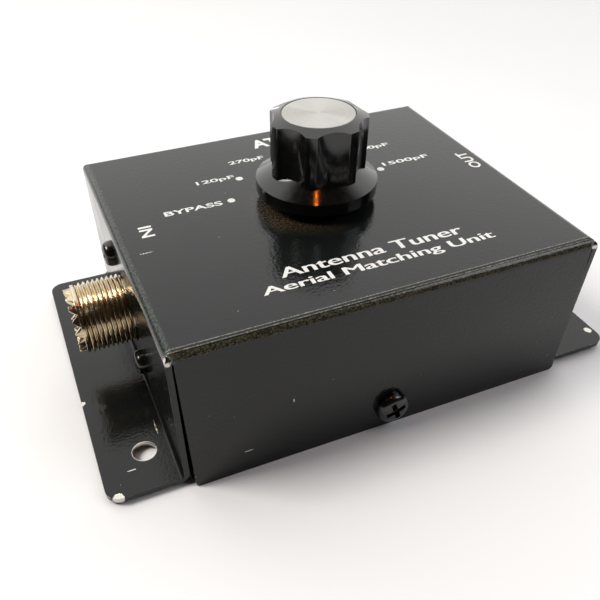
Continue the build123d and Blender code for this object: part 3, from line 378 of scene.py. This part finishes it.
# %% Finishes of the plastics
def moulded(name, deep, pale, smooth, rough, texture, depth, **sockets):
    """A plastic, ink or resin whose colour and gloss drift, with a surface texture size and depth in mm."""
    made, tree, shader, here = finish_named(name, smooth, **sockets)
    drift = add(tree, "ShaderNodeTexNoise", {"Vector": here, "Scale": 1 / (texture * MM), "Detail": 5.0})
    tint = add(tree, "ShaderNodeMix", {0: drift.outputs["Fac"], 6: paint(deep), 7: paint(pale)},
               data_type="RGBA")
    sheen = add(tree, "ShaderNodeMapRange",
                {0: drift.outputs["Fac"], 1: 0.3, 2: 0.7, 3: smooth, 4: rough})
    bump = add(tree, "ShaderNodeBump",
               {"Height": drift.outputs["Fac"], "Strength": 0.4, "Distance": depth * MM})
    tree.links.new(tint.outputs[2], shader.inputs["Base Color"])
    tree.links.new(sheen.outputs[0], shader.inputs["Roughness"])
    tree.links.new(bump.outputs[0], shader.inputs["Normal"])
    return made


phenolic = moulded("black_phenolic_moulding", "#090909", "#111110", 0.09, 0.16, 1.4, 0.004, IOR=1.6)
insulator = moulded("white_insulator_moulding", "#E4E1D6", "#F1EFE8", 0.3, 0.42, 2.0, 0.02)
board = moulded("paper_phenolic_board", "#6B3D1E", "#8A5730", 0.4, 0.55, 0.8, 0.02)
dipped = moulded("dipped_resin", "#5A1E10", "#7E3118", 0.18, 0.3, 1.6, 0.04, IOR=1.55)
ink = moulded("white_screen_ink", "#D8D8D6", "#F6F6F4", 0.45, 0.6, 0.5, 0.01)
print([m.name for m in (phenolic, insulator, board, dipped, ink)])

# %% [markdown]
# ## Giving each CAD node its finish
# Most nodes have the right shape already, so they only need a finish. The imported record
# says which material slot each node belongs to, so one table from slot to finish covers
# them all, inside the box as well as outside.

# %% Finishes by slot
FINISHES = {
    "black_paint": enamel, "black_screw": oxide, "nickel": nickel, "zinc_plate": zinc,
    "bright_steel": steel, "silver_plate": silver, "brass": brass, "white_insulator": insulator,
    "phenolic": board, "mica_dip": dipped, "tinned_copper": tinned, "knob_black": phenolic,
    "spun_aluminium": spun, "white_fill": ink,
}
slot_of = {piece["node"]: piece["material_slot"] for piece in frame["record"]["subparts"]}
for name, piece in nodes.items():
    piece.data.materials.clear()
    piece.data.materials.append(FINISHES[slot_of[name]])
print(len(nodes), "nodes finished from", len(FINISHES), "slots")

# %% [markdown]
# ## Easing the edges
# No real edge is perfectly sharp: sheared steel has a small burr, and a moulding has the
# radius of its mould. That tiny rounding catches a line of light, and without it a model
# looks like paper. A copy of the CAD mesh is merged, its flat faces are joined, and every
# hard edge gets a narrow bevel. The bevel's faces are marked in an attribute, "worn_edge",
# for the finishes to read. The copy then stands in for the node.

# %% A helper that eases a node's edges
FLAT = radians(0.4)
HARD = radians(28)
SHARP = radians(40)


def eased(node, name, width, reshape=None):
    """A copy of a CAD node with its hard edges rounded by this width in mm, in the node's place."""
    form = bmesh.new()
    form.from_mesh(nodes[node].data)
    bmesh.ops.remove_doubles(form, verts=form.verts, dist=MERGE)
    if reshape:
        for vert in form.verts:
            reshape(vert)
    bmesh.ops.dissolve_limit(form, angle_limit=FLAT, verts=form.verts, edges=form.edges)
    hard = [e for e in form.edges if len(e.link_faces) == 2 and e.calc_face_angle() > HARD]
    mark = form.faces.layers.float.new("worn_edge")
    rounded = bmesh.ops.bevel(form, geom=hard, offset=width * MM, segments=2, profile=0.5,
                              affect="EDGES", clamp_overlap=True)
    for face in rounded["faces"]:
        face[mark] = 1.0
    bmesh.ops.triangulate(form, faces=[f for f in form.faces if len(f.verts) > 4])
    made = bpy.data.meshes.new(name)
    form.to_mesh(made)
    form.free()
    made.shade_smooth()
    made.set_sharp_from_angle(angle=SHARP)
    made.materials.append(FINISHES[slot_of[node]])
    piece = bpy.data.objects.new(name, made)
    bpy.context.collection.objects.link(piece)
    # Weighing each normal by face area keeps the big flat faces flat beside their rounded edges.
    piece.modifiers.new("weigh", "WEIGHTED_NORMAL").keep_sharp = True
    evaluated = piece.evaluated_get(bpy.context.evaluated_depsgraph_get())
    piece.data = bpy.data.meshes.new_from_object(evaluated)
    piece.modifiers.clear()
    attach(piece, nodes[node]["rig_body"])
    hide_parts(node)
    return piece


folded_cover = eased("cover", "folded_cover", 0.16)
print("cover has", len(folded_cover.data.polygons), "faces")

# %% [markdown]
# ## The inlay and the base plate
# The crown inlay and the sheet metal that shows at the seams take the same easing. The
# knob keeps the CAD's own crisp edges, which are what a polished mould leaves.

# %% Ease the inlay and base plate
crown_inlay = eased("knob_cap", "crown_inlay", 0.08)
base_plate = eased("bottom_plate", "base_plate", 0.15)
print([(piece.name, len(piece.data.polygons)) for piece in (crown_inlay, base_plate)])

# %% [markdown]
# ## The threaded sockets
# Each socket has 24 threads to the inch on a barrel 15.875 mm across, the standard for
# this plug. The CAD barrel is plain, at the thread's outer size, so the copy is turned
# down to the thread's root and a thread is grown over it. A thread is a rule, a ridge that
# climbs one pitch in each turn, so Geometry Nodes lay a grid round the barrel and set each
# point's radius from it. The grid's first and last rows dip into the barrel and close it.

# %% Geometry Nodes tree: a screw thread
def new_tree(name, sizes):
    """A Geometry Nodes tree with a named input for each size, and its input and output nodes."""
    tree = bpy.data.node_groups.new(name, "GeometryNodeTree")
    tree.interface.new_socket("Geometry", in_out="INPUT", socket_type="NodeSocketGeometry")
    tree.interface.new_socket("Geometry", in_out="OUTPUT", socket_type="NodeSocketGeometry")
    for size, value in sizes.items():
        kind = {float: "NodeSocketFloat", int: "NodeSocketInt"}.get(type(value), "NodeSocketMaterial")
        socket = tree.interface.new_socket(size, in_out="INPUT", socket_type=kind)
        if kind != "NodeSocketMaterial":
            socket.default_value = value
    return tree, add(tree, "NodeGroupInput").outputs, add(tree, "NodeGroupOutput")


def close_tree(tree, geometry, material, output):
    """End a tree with Realize Instances and Set Material, which the export needs."""
    real = add(tree, "GeometryNodeRealizeInstances", {0: geometry})
    coloured = add(tree, "GeometryNodeSetMaterial", {"Geometry": real.outputs[0], "Material": material})
    tree.links.new(coloured.outputs[0], output.inputs[0])


def grow(tree, name, seed_mesh, **sizes):
    """Run a tree on a mesh with these inputs, and return the result as a plain mesh object."""
    source = bpy.data.objects.new(name + "_source", seed_mesh)
    bpy.context.collection.objects.link(source)
    modifier = source.modifiers.new("grow", "NODES")
    modifier.node_group = tree
    for socket in tree.interface.items_tree:
        if socket.item_type == "SOCKET" and socket.name in sizes:
            modifier[socket.identifier] = sizes[socket.name]
    evaluated = source.evaluated_get(bpy.context.evaluated_depsgraph_get())
    made = bpy.data.meshes.new_from_object(evaluated)
    made.name = name
    bpy.data.objects.remove(source)
    piece = bpy.data.objects.new(name, made)
    bpy.context.collection.objects.link(piece)
    return piece


THREAD_R = 7.9375
THREAD_ROOT_R = 7.3
INSIDE_BARREL_R = 7.0
THREAD_PITCH = 25.4 / 24
THREAD_LENGTH = 10.2
thread_tree, given, output = new_tree("screw_thread", {
    "Major": THREAD_R * MM, "Root": THREAD_ROOT_R * MM, "Inner": INSIDE_BARREL_R * MM,
    "Pitch": THREAD_PITCH * MM, "Length": THREAD_LENGTH * MM, "Around": 96, "Along": 130, "Finish": None})
tree = thread_tree
columns = add(tree, "ShaderNodeMath", {0: given["Around"], 1: 1.0}, operation="ADD")
rows = add(tree, "ShaderNodeMath", {0: given["Along"], 1: 4.0}, operation="ADD")
grid = add(tree, "GeometryNodeMeshGrid",
           {"Size X": 1.0, "Size Y": 1.0, "Vertices X": columns.outputs[0],
            "Vertices Y": rows.outputs[0]})
at = add(tree, "ShaderNodeSeparateXYZ", {0: add(tree, "GeometryNodeInputPosition").outputs[0]}).outputs
turn = add(tree, "ShaderNodeMath", {0: at["X"], 1: 0.5}, operation="ADD")
angle = add(tree, "ShaderNodeMath", {0: turn.outputs[0], 1: 2 * pi}, operation="MULTIPLY")
up = add(tree, "ShaderNodeMath", {0: at["Y"], 1: 0.5}, operation="ADD")
last_row = add(tree, "ShaderNodeMath", {0: rows.outputs[0], 1: 1.0}, operation="SUBTRACT")
row = add(tree, "ShaderNodeMath", {0: up.outputs[0], 1: last_row.outputs[0]}, operation="MULTIPLY")
# Rows 1 to Along climb the thread and the next one repeats its end. Row 0 and the last two lie
# inside the barrel, and the last goes back down to where row 0 is.
climb = add(tree, "ShaderNodeMapRange",
            {0: row.outputs[0], 1: 1.0, 2: given["Along"], 3: 0.0, 4: given["Length"]})
is_last = add(tree, "ShaderNodeMath", {0: row.outputs[0], 1: last_row.outputs[0], 2: 0.5},
              operation="COMPARE")
is_first = add(tree, "ShaderNodeMath", {0: row.outputs[0], 1: 0.5}, operation="LESS_THAN")
before_last = add(tree, "ShaderNodeMath", {0: last_row.outputs[0], 1: 1.0}, operation="SUBTRACT")
is_before = add(tree, "ShaderNodeMath", {0: row.outputs[0], 1: before_last.outputs[0], 2: 0.5},
                operation="COMPARE")
either = add(tree, "ShaderNodeMath", {0: is_last.outputs[0], 1: is_first.outputs[0]}, operation="MAXIMUM")
inside = add(tree, "ShaderNodeMath", {0: either.outputs[0], 1: is_before.outputs[0]}, operation="MAXIMUM")
not_last = add(tree, "ShaderNodeMath", {0: 1.0, 1: is_last.outputs[0]}, operation="SUBTRACT")
height = add(tree, "ShaderNodeMath", {0: climb.outputs[0], 1: not_last.outputs[0]}, operation="MULTIPLY")
turns_up = add(tree, "ShaderNodeMath", {0: climb.outputs[0], 1: given["Pitch"]}, operation="DIVIDE")
# The wave is 0 in a root and 0.5 on a crest, and each keeps a narrow flat. The thread runs out
# to nothing over part of a pitch at both ends.
phase = add(tree, "ShaderNodeMath", {0: turns_up.outputs[0], 1: turn.outputs[0]}, operation="SUBTRACT")
wave = add(tree, "ShaderNodeMath", {0: phase.outputs[0], 1: 0.5}, operation="PINGPONG")
ridge = add(tree, "ShaderNodeMapRange", {0: wave.outputs[0], 1: 0.06, 2: 0.42, 3: 0.0, 4: 1.0})
to_end = add(tree, "ShaderNodeMath", {0: given["Length"], 1: climb.outputs[0]}, operation="SUBTRACT")
nearest = add(tree, "ShaderNodeMath", {0: climb.outputs[0], 1: to_end.outputs[0]}, operation="MINIMUM")
run_out = add(tree, "ShaderNodeMath", {0: given["Pitch"], 1: 0.4}, operation="MULTIPLY")
fade = add(tree, "ShaderNodeMapRange",
           {0: nearest.outputs[0], 1: 0.0, 2: run_out.outputs[0], 3: 0.0, 4: 1.0})
crest = add(tree, "ShaderNodeMath", {0: ridge.outputs[0], 1: fade.outputs[0]}, operation="MULTIPLY")
on_thread = add(tree, "ShaderNodeMapRange",
                {0: crest.outputs[0], 1: 0.0, 2: 1.0, 3: given["Root"], 4: given["Major"]})
radius = add(tree, "ShaderNodeMix", {0: inside.outputs[0], 2: on_thread.outputs[0], 3: given["Inner"]})
cosine = add(tree, "ShaderNodeMath", {0: angle.outputs[0]}, operation="COSINE")
sine = add(tree, "ShaderNodeMath", {0: angle.outputs[0]}, operation="SINE")
across = add(tree, "ShaderNodeMath", {0: cosine.outputs[0], 1: radius.outputs[0]}, operation="MULTIPLY")
upright = add(tree, "ShaderNodeMath", {0: sine.outputs[0], 1: radius.outputs[0]}, operation="MULTIPLY")
place = add(tree, "ShaderNodeCombineXYZ",
            {0: across.outputs[0], 1: upright.outputs[0], 2: height.outputs[0]})
moved = add(tree, "GeometryNodeSetPosition",
            {"Geometry": grid.outputs["Mesh"], "Position": place.outputs[0]})
closed = add(tree, "GeometryNodeMergeByDistance", {"Geometry": moved.outputs[0], "Distance": MERGE})
close_tree(tree, closed.outputs[0], given["Finish"], output)
print("thread tree has", len(tree.nodes), "nodes")

# %% [markdown]
# The thread is grown along +Z, so it is turned to point out of its wall, and moved to
# start just outside it. The turned-down barrel and its thread become one
# piece on each side.

# %% Turn down the barrels and thread them
WALL_X = 47.5
THREAD_START = WALL_X + 0.2
SOCKET_Z = 18.5
TURNED_R = THREAD_ROOT_R - 0.02


def turned_down(vert):
    """Move a point of the CAD barrel's plain outside in, to just below the thread's root."""
    x, y, z = vert.co / MM
    away = Vector((y, z - SOCKET_Z)).length
    if abs(away - THREAD_R) < 0.03 and WALL_X < abs(x):
        shrink = TURNED_R / away
        vert.co = Vector((x, y * shrink, SOCKET_Z + (z - SOCKET_Z) * shrink)) * MM


def joined(pieces, name):
    """Join several mesh objects into the first, which keeps its finish, body and slot."""
    with bpy.context.temp_override(active_object=pieces[0], selected_editable_objects=pieces):
        bpy.ops.object.join()
    pieces[0].name = name
    return pieces[0]


for side, label in ((-1, "in"), (1, "out")):
    barrel = eased(f"socket_shell_{label}", f"{label}_socket_barrel", 0.09, reshape=turned_down)
    thread = grow(thread_tree, f"{label}_thread", bpy.data.meshes.new("start"), Finish=nickel)
    start = Matrix.Translation(Vector((side * THREAD_START, 0, SOCKET_Z)) * MM)
    thread.data.transform(start @ Matrix.Rotation(side * pi / 2, 4, "Y"))
    thread.data.shade_smooth()
    thread.data.set_sharp_from_angle(angle=radians(50))
    joined([barrel, thread], f"{label}_socket_barrel")
    print(label, "barrel has", len(barrel.data.polygons), "faces")

# %% [markdown]
# ## The lettering
# The legend is screen printed in white, so it stands on the paint by a few hundredths of
# a millimetre. Text objects are thickened, made a mesh, and scaled to the size of each
# printed word. The words here are plain: what the box is, its two ends, and the value at
# each dial mark.

# %% Print the legend
INK = 0.03
INK_Z = TOP_Z + INK * 0.4
letterings = []


def letter(words, centre, width, height, turn=0.0, weight=0.02, lift=0.0):
    """Print words on the top, centred at a point, with a width, height, turn and lift in mm and degrees."""
    curve = bpy.data.curves.new("legend", "FONT")
    curve.body = words
    curve.offset = weight
    curve.extrude = 0.5
    typed = bpy.data.objects.new("legend", curve)
    bpy.context.collection.objects.link(typed)
    made = bpy.data.meshes.new_from_object(typed.evaluated_get(bpy.context.evaluated_depsgraph_get()))
    bpy.data.objects.remove(typed)
    low = [min(v.co[axis] for v in made.vertices) for axis in range(3)]
    high = [max(v.co[axis] for v in made.vertices) for axis in range(3)]
    middle = Matrix.Translation([-(a + b) / 2 for a, b in zip(low, high)])
    scales = [size * MM / (b - a) for size, a, b in zip((width, height, INK), low, high)]
    sized = Matrix.Diagonal((*scales, 1.0))
    turned = Matrix.Rotation(radians(turn), 4, "Z")
    placed = Matrix.Translation(Vector((*centre, INK_Z + lift)) * MM)
    made.transform(placed @ turned @ sized @ middle)
    made.materials.append(ink)
    print_piece = bpy.data.objects.new("legend", made)
    bpy.context.collection.objects.link(print_piece)
    letterings.append(print_piece)


# The two title lines are struck three times, a little apart, for a bold stroke. Each strike
# lies a hair above the one before, because faces at one height would spoil each other.
STRIKES = ((-0.13, 0.0), (0.0, 0.006), (0.13, 0.012))
for shift, lift in STRIKES:
    letter("Antenna Tuner", (1.4 + shift, -24.2), 42.1, 3.2, weight=0.0, lift=lift)
    letter("Aerial Matching Unit", (1.35 + shift, -28.9), 52.8, 3.3, weight=0.0, lift=lift)
letter("ATU", (0.9, 31.5), 11.0, 4.6, weight=0.04)
letter("BYPASS", (-28.1, 6.5), 13.6, 1.9)
letter("120pF", (-19.4, 17.0), 9.5, 2.1)
letter("270pF", (-8.95, 23.8), 9.3, 2.1)
letter("560pF", (9.5, 23.8), 9.3, 2.1)
letter("1000pF", (22.8, 18.0), 11.4, 2.1)
letter("1500pF", (28.05, 8.3), 12.9, 2.1)
letter("IN", (-40.3, 1.2), 4.4, 2.9, turn=-90)
letter("OUT", (42.7, 2.3), 8.4, 2.9, turn=90)
print(len(letterings), "printed pieces")

# %% [markdown]
# Six round dots mark the switch's positions. They repeat, so a small tree puts one dot of
# ink at each point of a fan of points that the script lays on the dial.

# %% Geometry Nodes tree: dial dots
DOT_R = 0.9
DIAL_CENTRE = (0.5, 1.4)
DIAL_R = 20.2
DIAL_ANGLES = range(15, 166, 30)
dot_tree, given, output = new_tree("dial_dots", {"Dot": DOT_R * MM, "Thick": INK * MM, "Finish": None})
disc = add(dot_tree, "GeometryNodeMeshCylinder",
           {"Vertices": 28, "Radius": given["Dot"], "Depth": given["Thick"]})
spread = add(dot_tree, "GeometryNodeInstanceOnPoints",
             {"Points": given["Geometry"], "Instance": disc.outputs["Mesh"]})
close_tree(dot_tree, spread.outputs[0], given["Finish"], output)
fan = bpy.data.meshes.new("fan")
middle = Vector((*DIAL_CENTRE, INK_Z))
spokes = [Vector((cos(radians(angle)), sin(radians(angle)), 0)) for angle in DIAL_ANGLES]
fan.from_pydata([(middle + DIAL_R * spoke) * MM for spoke in spokes], [], [])
dots = grow(dot_tree, "dial_dots", fan, Finish=ink)
legend = joined(letterings + [dots], "dial_legend")
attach(legend, "case")
print("legend has", len(legend.data.polygons), "faces")

# %% [markdown]
# ## The screws
# The box has six pan-head screws in two sizes, with a cross recess. A screw repeats, so a
# tree makes one and puts it at each point it is given, turned to face along that point's
# "facing" direction. The head is a superellipse, flat below and domed above, and the recess
# is cut with two crossed bars.

# %% Geometry Nodes tree: pan-head screws
# The power that squares the dome off, how far the recess's bars reach, how high their middle
# lies in the head, their turns, and the shank's middle, which leaves its end a hair in the head.
DOME_POWER = 0.62
BAR_REACH = 1.2
BAR_LIFT = 0.85
BAR_TURNS = (20, 110)
SHANK_MIDDLE = -0.499
screw_tree, given, output = new_tree("pan_screws", {
    "Head": 3.9 * MM, "Rise": 2.5 * MM, "Shank": 1.95 * MM, "Length": 6.5 * MM, "Slot": 1.15 * MM,
    "Finish": None})
tree = screw_tree
grid = add(tree, "GeometryNodeMeshGrid",
           {"Size X": 1.0, "Size Y": 1.0, "Vertices X": 49, "Vertices Y": 25})
at = add(tree, "ShaderNodeSeparateXYZ", {0: add(tree, "GeometryNodeInputPosition").outputs[0]}).outputs
turn = add(tree, "ShaderNodeMath", {0: at["X"], 1: 2 * pi}, operation="MULTIPLY")
tilt = add(tree, "ShaderNodeMath", {0: at["Y"], 1: pi, 2: pi / 2}, operation="MULTIPLY_ADD")
sine = add(tree, "ShaderNodeMath", {0: tilt.outputs[0]}, operation="SINE")
cosine = add(tree, "ShaderNodeMath", {0: tilt.outputs[0]}, operation="COSINE")
above = add(tree, "ShaderNodeMath", {0: cosine.outputs[0], 1: 0.0}, operation="MAXIMUM")
fat = add(tree, "ShaderNodeMath", {0: sine.outputs[0], 1: DOME_POWER}, operation="POWER")
tall = add(tree, "ShaderNodeMath", {0: above.outputs[0], 1: DOME_POWER}, operation="POWER")
reach = add(tree, "ShaderNodeMath", {0: fat.outputs[0], 1: given["Head"]}, operation="MULTIPLY")
rise = add(tree, "ShaderNodeMath", {0: tall.outputs[0], 1: given["Rise"]}, operation="MULTIPLY")
cos_turn = add(tree, "ShaderNodeMath", {0: turn.outputs[0]}, operation="COSINE")
sin_turn = add(tree, "ShaderNodeMath", {0: turn.outputs[0]}, operation="SINE")
x = add(tree, "ShaderNodeMath", {0: reach.outputs[0], 1: cos_turn.outputs[0]}, operation="MULTIPLY")
y = add(tree, "ShaderNodeMath", {0: reach.outputs[0], 1: sin_turn.outputs[0]}, operation="MULTIPLY")
place = add(tree, "ShaderNodeCombineXYZ", {0: x.outputs[0], 1: y.outputs[0], 2: rise.outputs[0]})
domed = add(tree, "GeometryNodeSetPosition",
            {"Geometry": grid.outputs["Mesh"], "Position": place.outputs[0]})
head = add(tree, "GeometryNodeMergeByDistance", {"Geometry": domed.outputs[0], "Distance": 0.003 * MM})
outward = add(tree, "GeometryNodeFlipFaces", {"Mesh": head.outputs[0]})
bar_length = add(tree, "ShaderNodeMath", {0: given["Head"], 1: BAR_REACH}, operation="MULTIPLY")
bar_size = add(tree, "ShaderNodeCombineXYZ",
               {0: bar_length.outputs[0], 1: given["Slot"], 2: given["Rise"]})
bar = add(tree, "GeometryNodeMeshCube", {"Size": bar_size.outputs[0]})
lifted = add(tree, "ShaderNodeMath", {0: given["Rise"], 1: BAR_LIFT}, operation="MULTIPLY")
bar_at = add(tree, "ShaderNodeCombineXYZ", {2: lifted.outputs[0]})
bars = [add(tree, "GeometryNodeTransform",
            {"Geometry": bar.outputs["Mesh"], "Translation": bar_at.outputs[0],
             "Rotation": (0.0, 0.0, radians(angle))}) for angle in BAR_TURNS]
recess = add(tree, "GeometryNodeMeshBoolean", operation="DIFFERENCE")
tree.links.new(outward.outputs[0], recess.inputs["Mesh 1"])
for one in bars:
    tree.links.new(one.outputs[0], recess.inputs["Mesh 2"])
shank = add(tree, "GeometryNodeMeshCylinder",
            {"Vertices": 32, "Radius": given["Shank"], "Depth": given["Length"]})
half = add(tree, "ShaderNodeMath", {0: given["Length"], 1: SHANK_MIDDLE}, operation="MULTIPLY")
shank_at = add(tree, "ShaderNodeCombineXYZ", {2: half.outputs[0]})
sunk = add(tree, "GeometryNodeTransform",
           {"Geometry": shank.outputs["Mesh"], "Translation": shank_at.outputs[0]})
whole = add(tree, "GeometryNodeJoinGeometry")
for part in (recess.outputs[0], sunk.outputs[0]):
    tree.links.new(part, whole.inputs[0])
facing = add(tree, "GeometryNodeInputNamedAttribute", {"Name": "facing"}, data_type="FLOAT_VECTOR")
aim = add(tree, "FunctionNodeAlignRotationToVector", {"Vector": facing.outputs[0]}, axis="Z")
spread = add(tree, "GeometryNodeInstanceOnPoints",
             {"Points": given["Geometry"], "Instance": whole.outputs[0], "Rotation": aim.outputs[0]})
close_tree(tree, spread.outputs[0], given["Finish"], output)
print("screw tree has", len(tree.nodes), "nodes")

# %% Drive the screws
FLAP_LEAN = radians(2.534)
COVER_SCREW_Y = 40.49
COVER_SCREW_Z = 5.9
SOCKET_HOLE = 18.26 / 2
cover_points = [((0, side * COVER_SCREW_Y, COVER_SCREW_Z), (0, side * cos(FLAP_LEAN), sin(FLAP_LEAN)))
                for side in (-1, 1)]
socket_points = [((side * WALL_X, side * along * SOCKET_HOLE, SOCKET_Z - along * SOCKET_HOLE),
                  (side, 0, 0)) for side in (-1, 1) for along in (-1, 1)]


def drive(name, points, replaced, **sizes):
    """Put a screw at each point, facing along its direction, in place of the CAD screws."""
    seats = bpy.data.meshes.new(name)
    seats.from_pydata([Vector(at) * MM for at, _ in points], [], [])
    facing = seats.attributes.new("facing", "FLOAT_VECTOR", "POINT")
    for item, (_, direction) in zip(facing.data, points):
        item.vector = direction
    screws = grow(screw_tree, name, seats, Finish=oxide, **sizes)
    screws.data.shade_smooth()
    screws.data.set_sharp_from_angle(angle=radians(35))
    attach(screws, "case")
    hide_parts(*replaced)
    print(name, len(screws.data.polygons), "faces")


drive("cover_screws", cover_points, ("cover_screw_front", "cover_screw_rear"))
drive("socket_screws", socket_points, ("socket_screws_in", "socket_screws_out"),
      Head=2.9 * MM, Rise=2.2 * MM, Shank=1.45 * MM, Length=7.5 * MM, Slot=0.85 * MM)

# %% [markdown]
# ## Bench and light
# The box stands on a plain pale bench. The room is bright behind it and dim overhead and on
# the near side, so glossy black paint shows a clear edge between the two, and a plain pale
# wall is all that a view ever sees past the bench. A broad soft light high on the left puts
# the highlights on the nickel and the front bend, where the enamel also carries painted
# highlights, a weaker one fills the right side, and a small warm bench lamp overhead leaves
# an orange glint on the knob's skirt.

# %% Stage
BENCH_HALF = 3.0
LIGHTS_AIM = Vector((0, 0, 15)) * MM
bench_mesh = bpy.data.meshes.new("bench")
corners = [(x * BENCH_HALF, y * BENCH_HALF, 0) for x, y in ((-1, -1), (1, -1), (1, 1), (-1, 1))]
bench_mesh.from_pydata(corners, [], [(0, 1, 2, 3)])
bench, tree, shader, here = finish_named("pale_bench", 0.6)
cloud = add(tree, "ShaderNodeTexNoise", {"Vector": here, "Scale": 8.0, "Detail": 2.0})
paper = add(tree, "ShaderNodeMix", {0: cloud.outputs["Fac"], 6: paint("#F3F3F5"), 7: paint("#FAFAFB")},
            data_type="RGBA")
tree.links.new(paper.outputs[2], shader.inputs["Base Color"])
bench_mesh.materials.append(bench)
floor = bpy.data.objects.new("bench", bench_mesh)
bpy.context.collection.objects.link(floor)

world = bpy.data.worlds.new("studio")
world.use_nodes = True
sky = world.node_tree
way = add(sky, "ShaderNodeTexCoord").outputs["Generated"]
# A direction counts as behind when it lies within about 50 degrees of this one, and the bright
# walls fade out over the next few.
BEHIND = (0.303, 0.808, 0.505)
behind = add(sky, "ShaderNodeVectorMath", {0: way, 1: BEHIND}, operation="DOT_PRODUCT")
lit = add(sky, "ShaderNodeMapRange", {0: behind.outputs["Value"], 1: 0.54, 2: 0.66, 3: 0.0, 4: 1.0})
walls = add(sky, "ShaderNodeMix", {0: lit.outputs[0], 6: paint("#1D1814"), 7: paint("#FAFAF8")},
            data_type="RGBA")
# Reflections see the bright and dim room, and the camera itself sees a plain pale backdrop.
looked_at = add(sky, "ShaderNodeLightPath").outputs["Is Camera Ray"]
backdrop = add(sky, "ShaderNodeMix", {0: looked_at, 6: walls.outputs[2], 7: paint("#C2C2C1")},
               data_type="RGBA")
sky.links.new(backdrop.outputs[2], sky.nodes["Background"].inputs["Color"])
sky.nodes["Background"].inputs["Strength"].default_value = 1.55
bpy.context.scene.world = world


def soft_light(name, at, size, power, colour):
    """A square area light at a point in mm, aimed at the box, with its size in mm."""
    lamp = bpy.data.lights.new(name, "AREA")
    lamp.shape = "SQUARE"
    lamp.size = size * MM
    lamp.energy = power
    lamp.color = paint(colour)[:3]
    placed = bpy.data.objects.new(name, lamp)
    bpy.context.collection.objects.link(placed)
    placed.location = Vector(at) * MM
    placed.rotation_mode = "QUATERNION"
    placed.rotation_quaternion = (LIGHTS_AIM - placed.location).to_track_quat("-Z", "Y")


soft_light("left_softbox", (-500, 150, 620), 260, 4.6, "#FFFBF4")
soft_light("right_fill", (420, -300, 500), 300, 1.1, "#F4F8FF")
soft_light("bench_lamp", (-15, -48, 642), 25, 0.08, "#FF7A1E")
bpy.context.scene.view_settings.view_transform = "Standard"
print("stage ready")
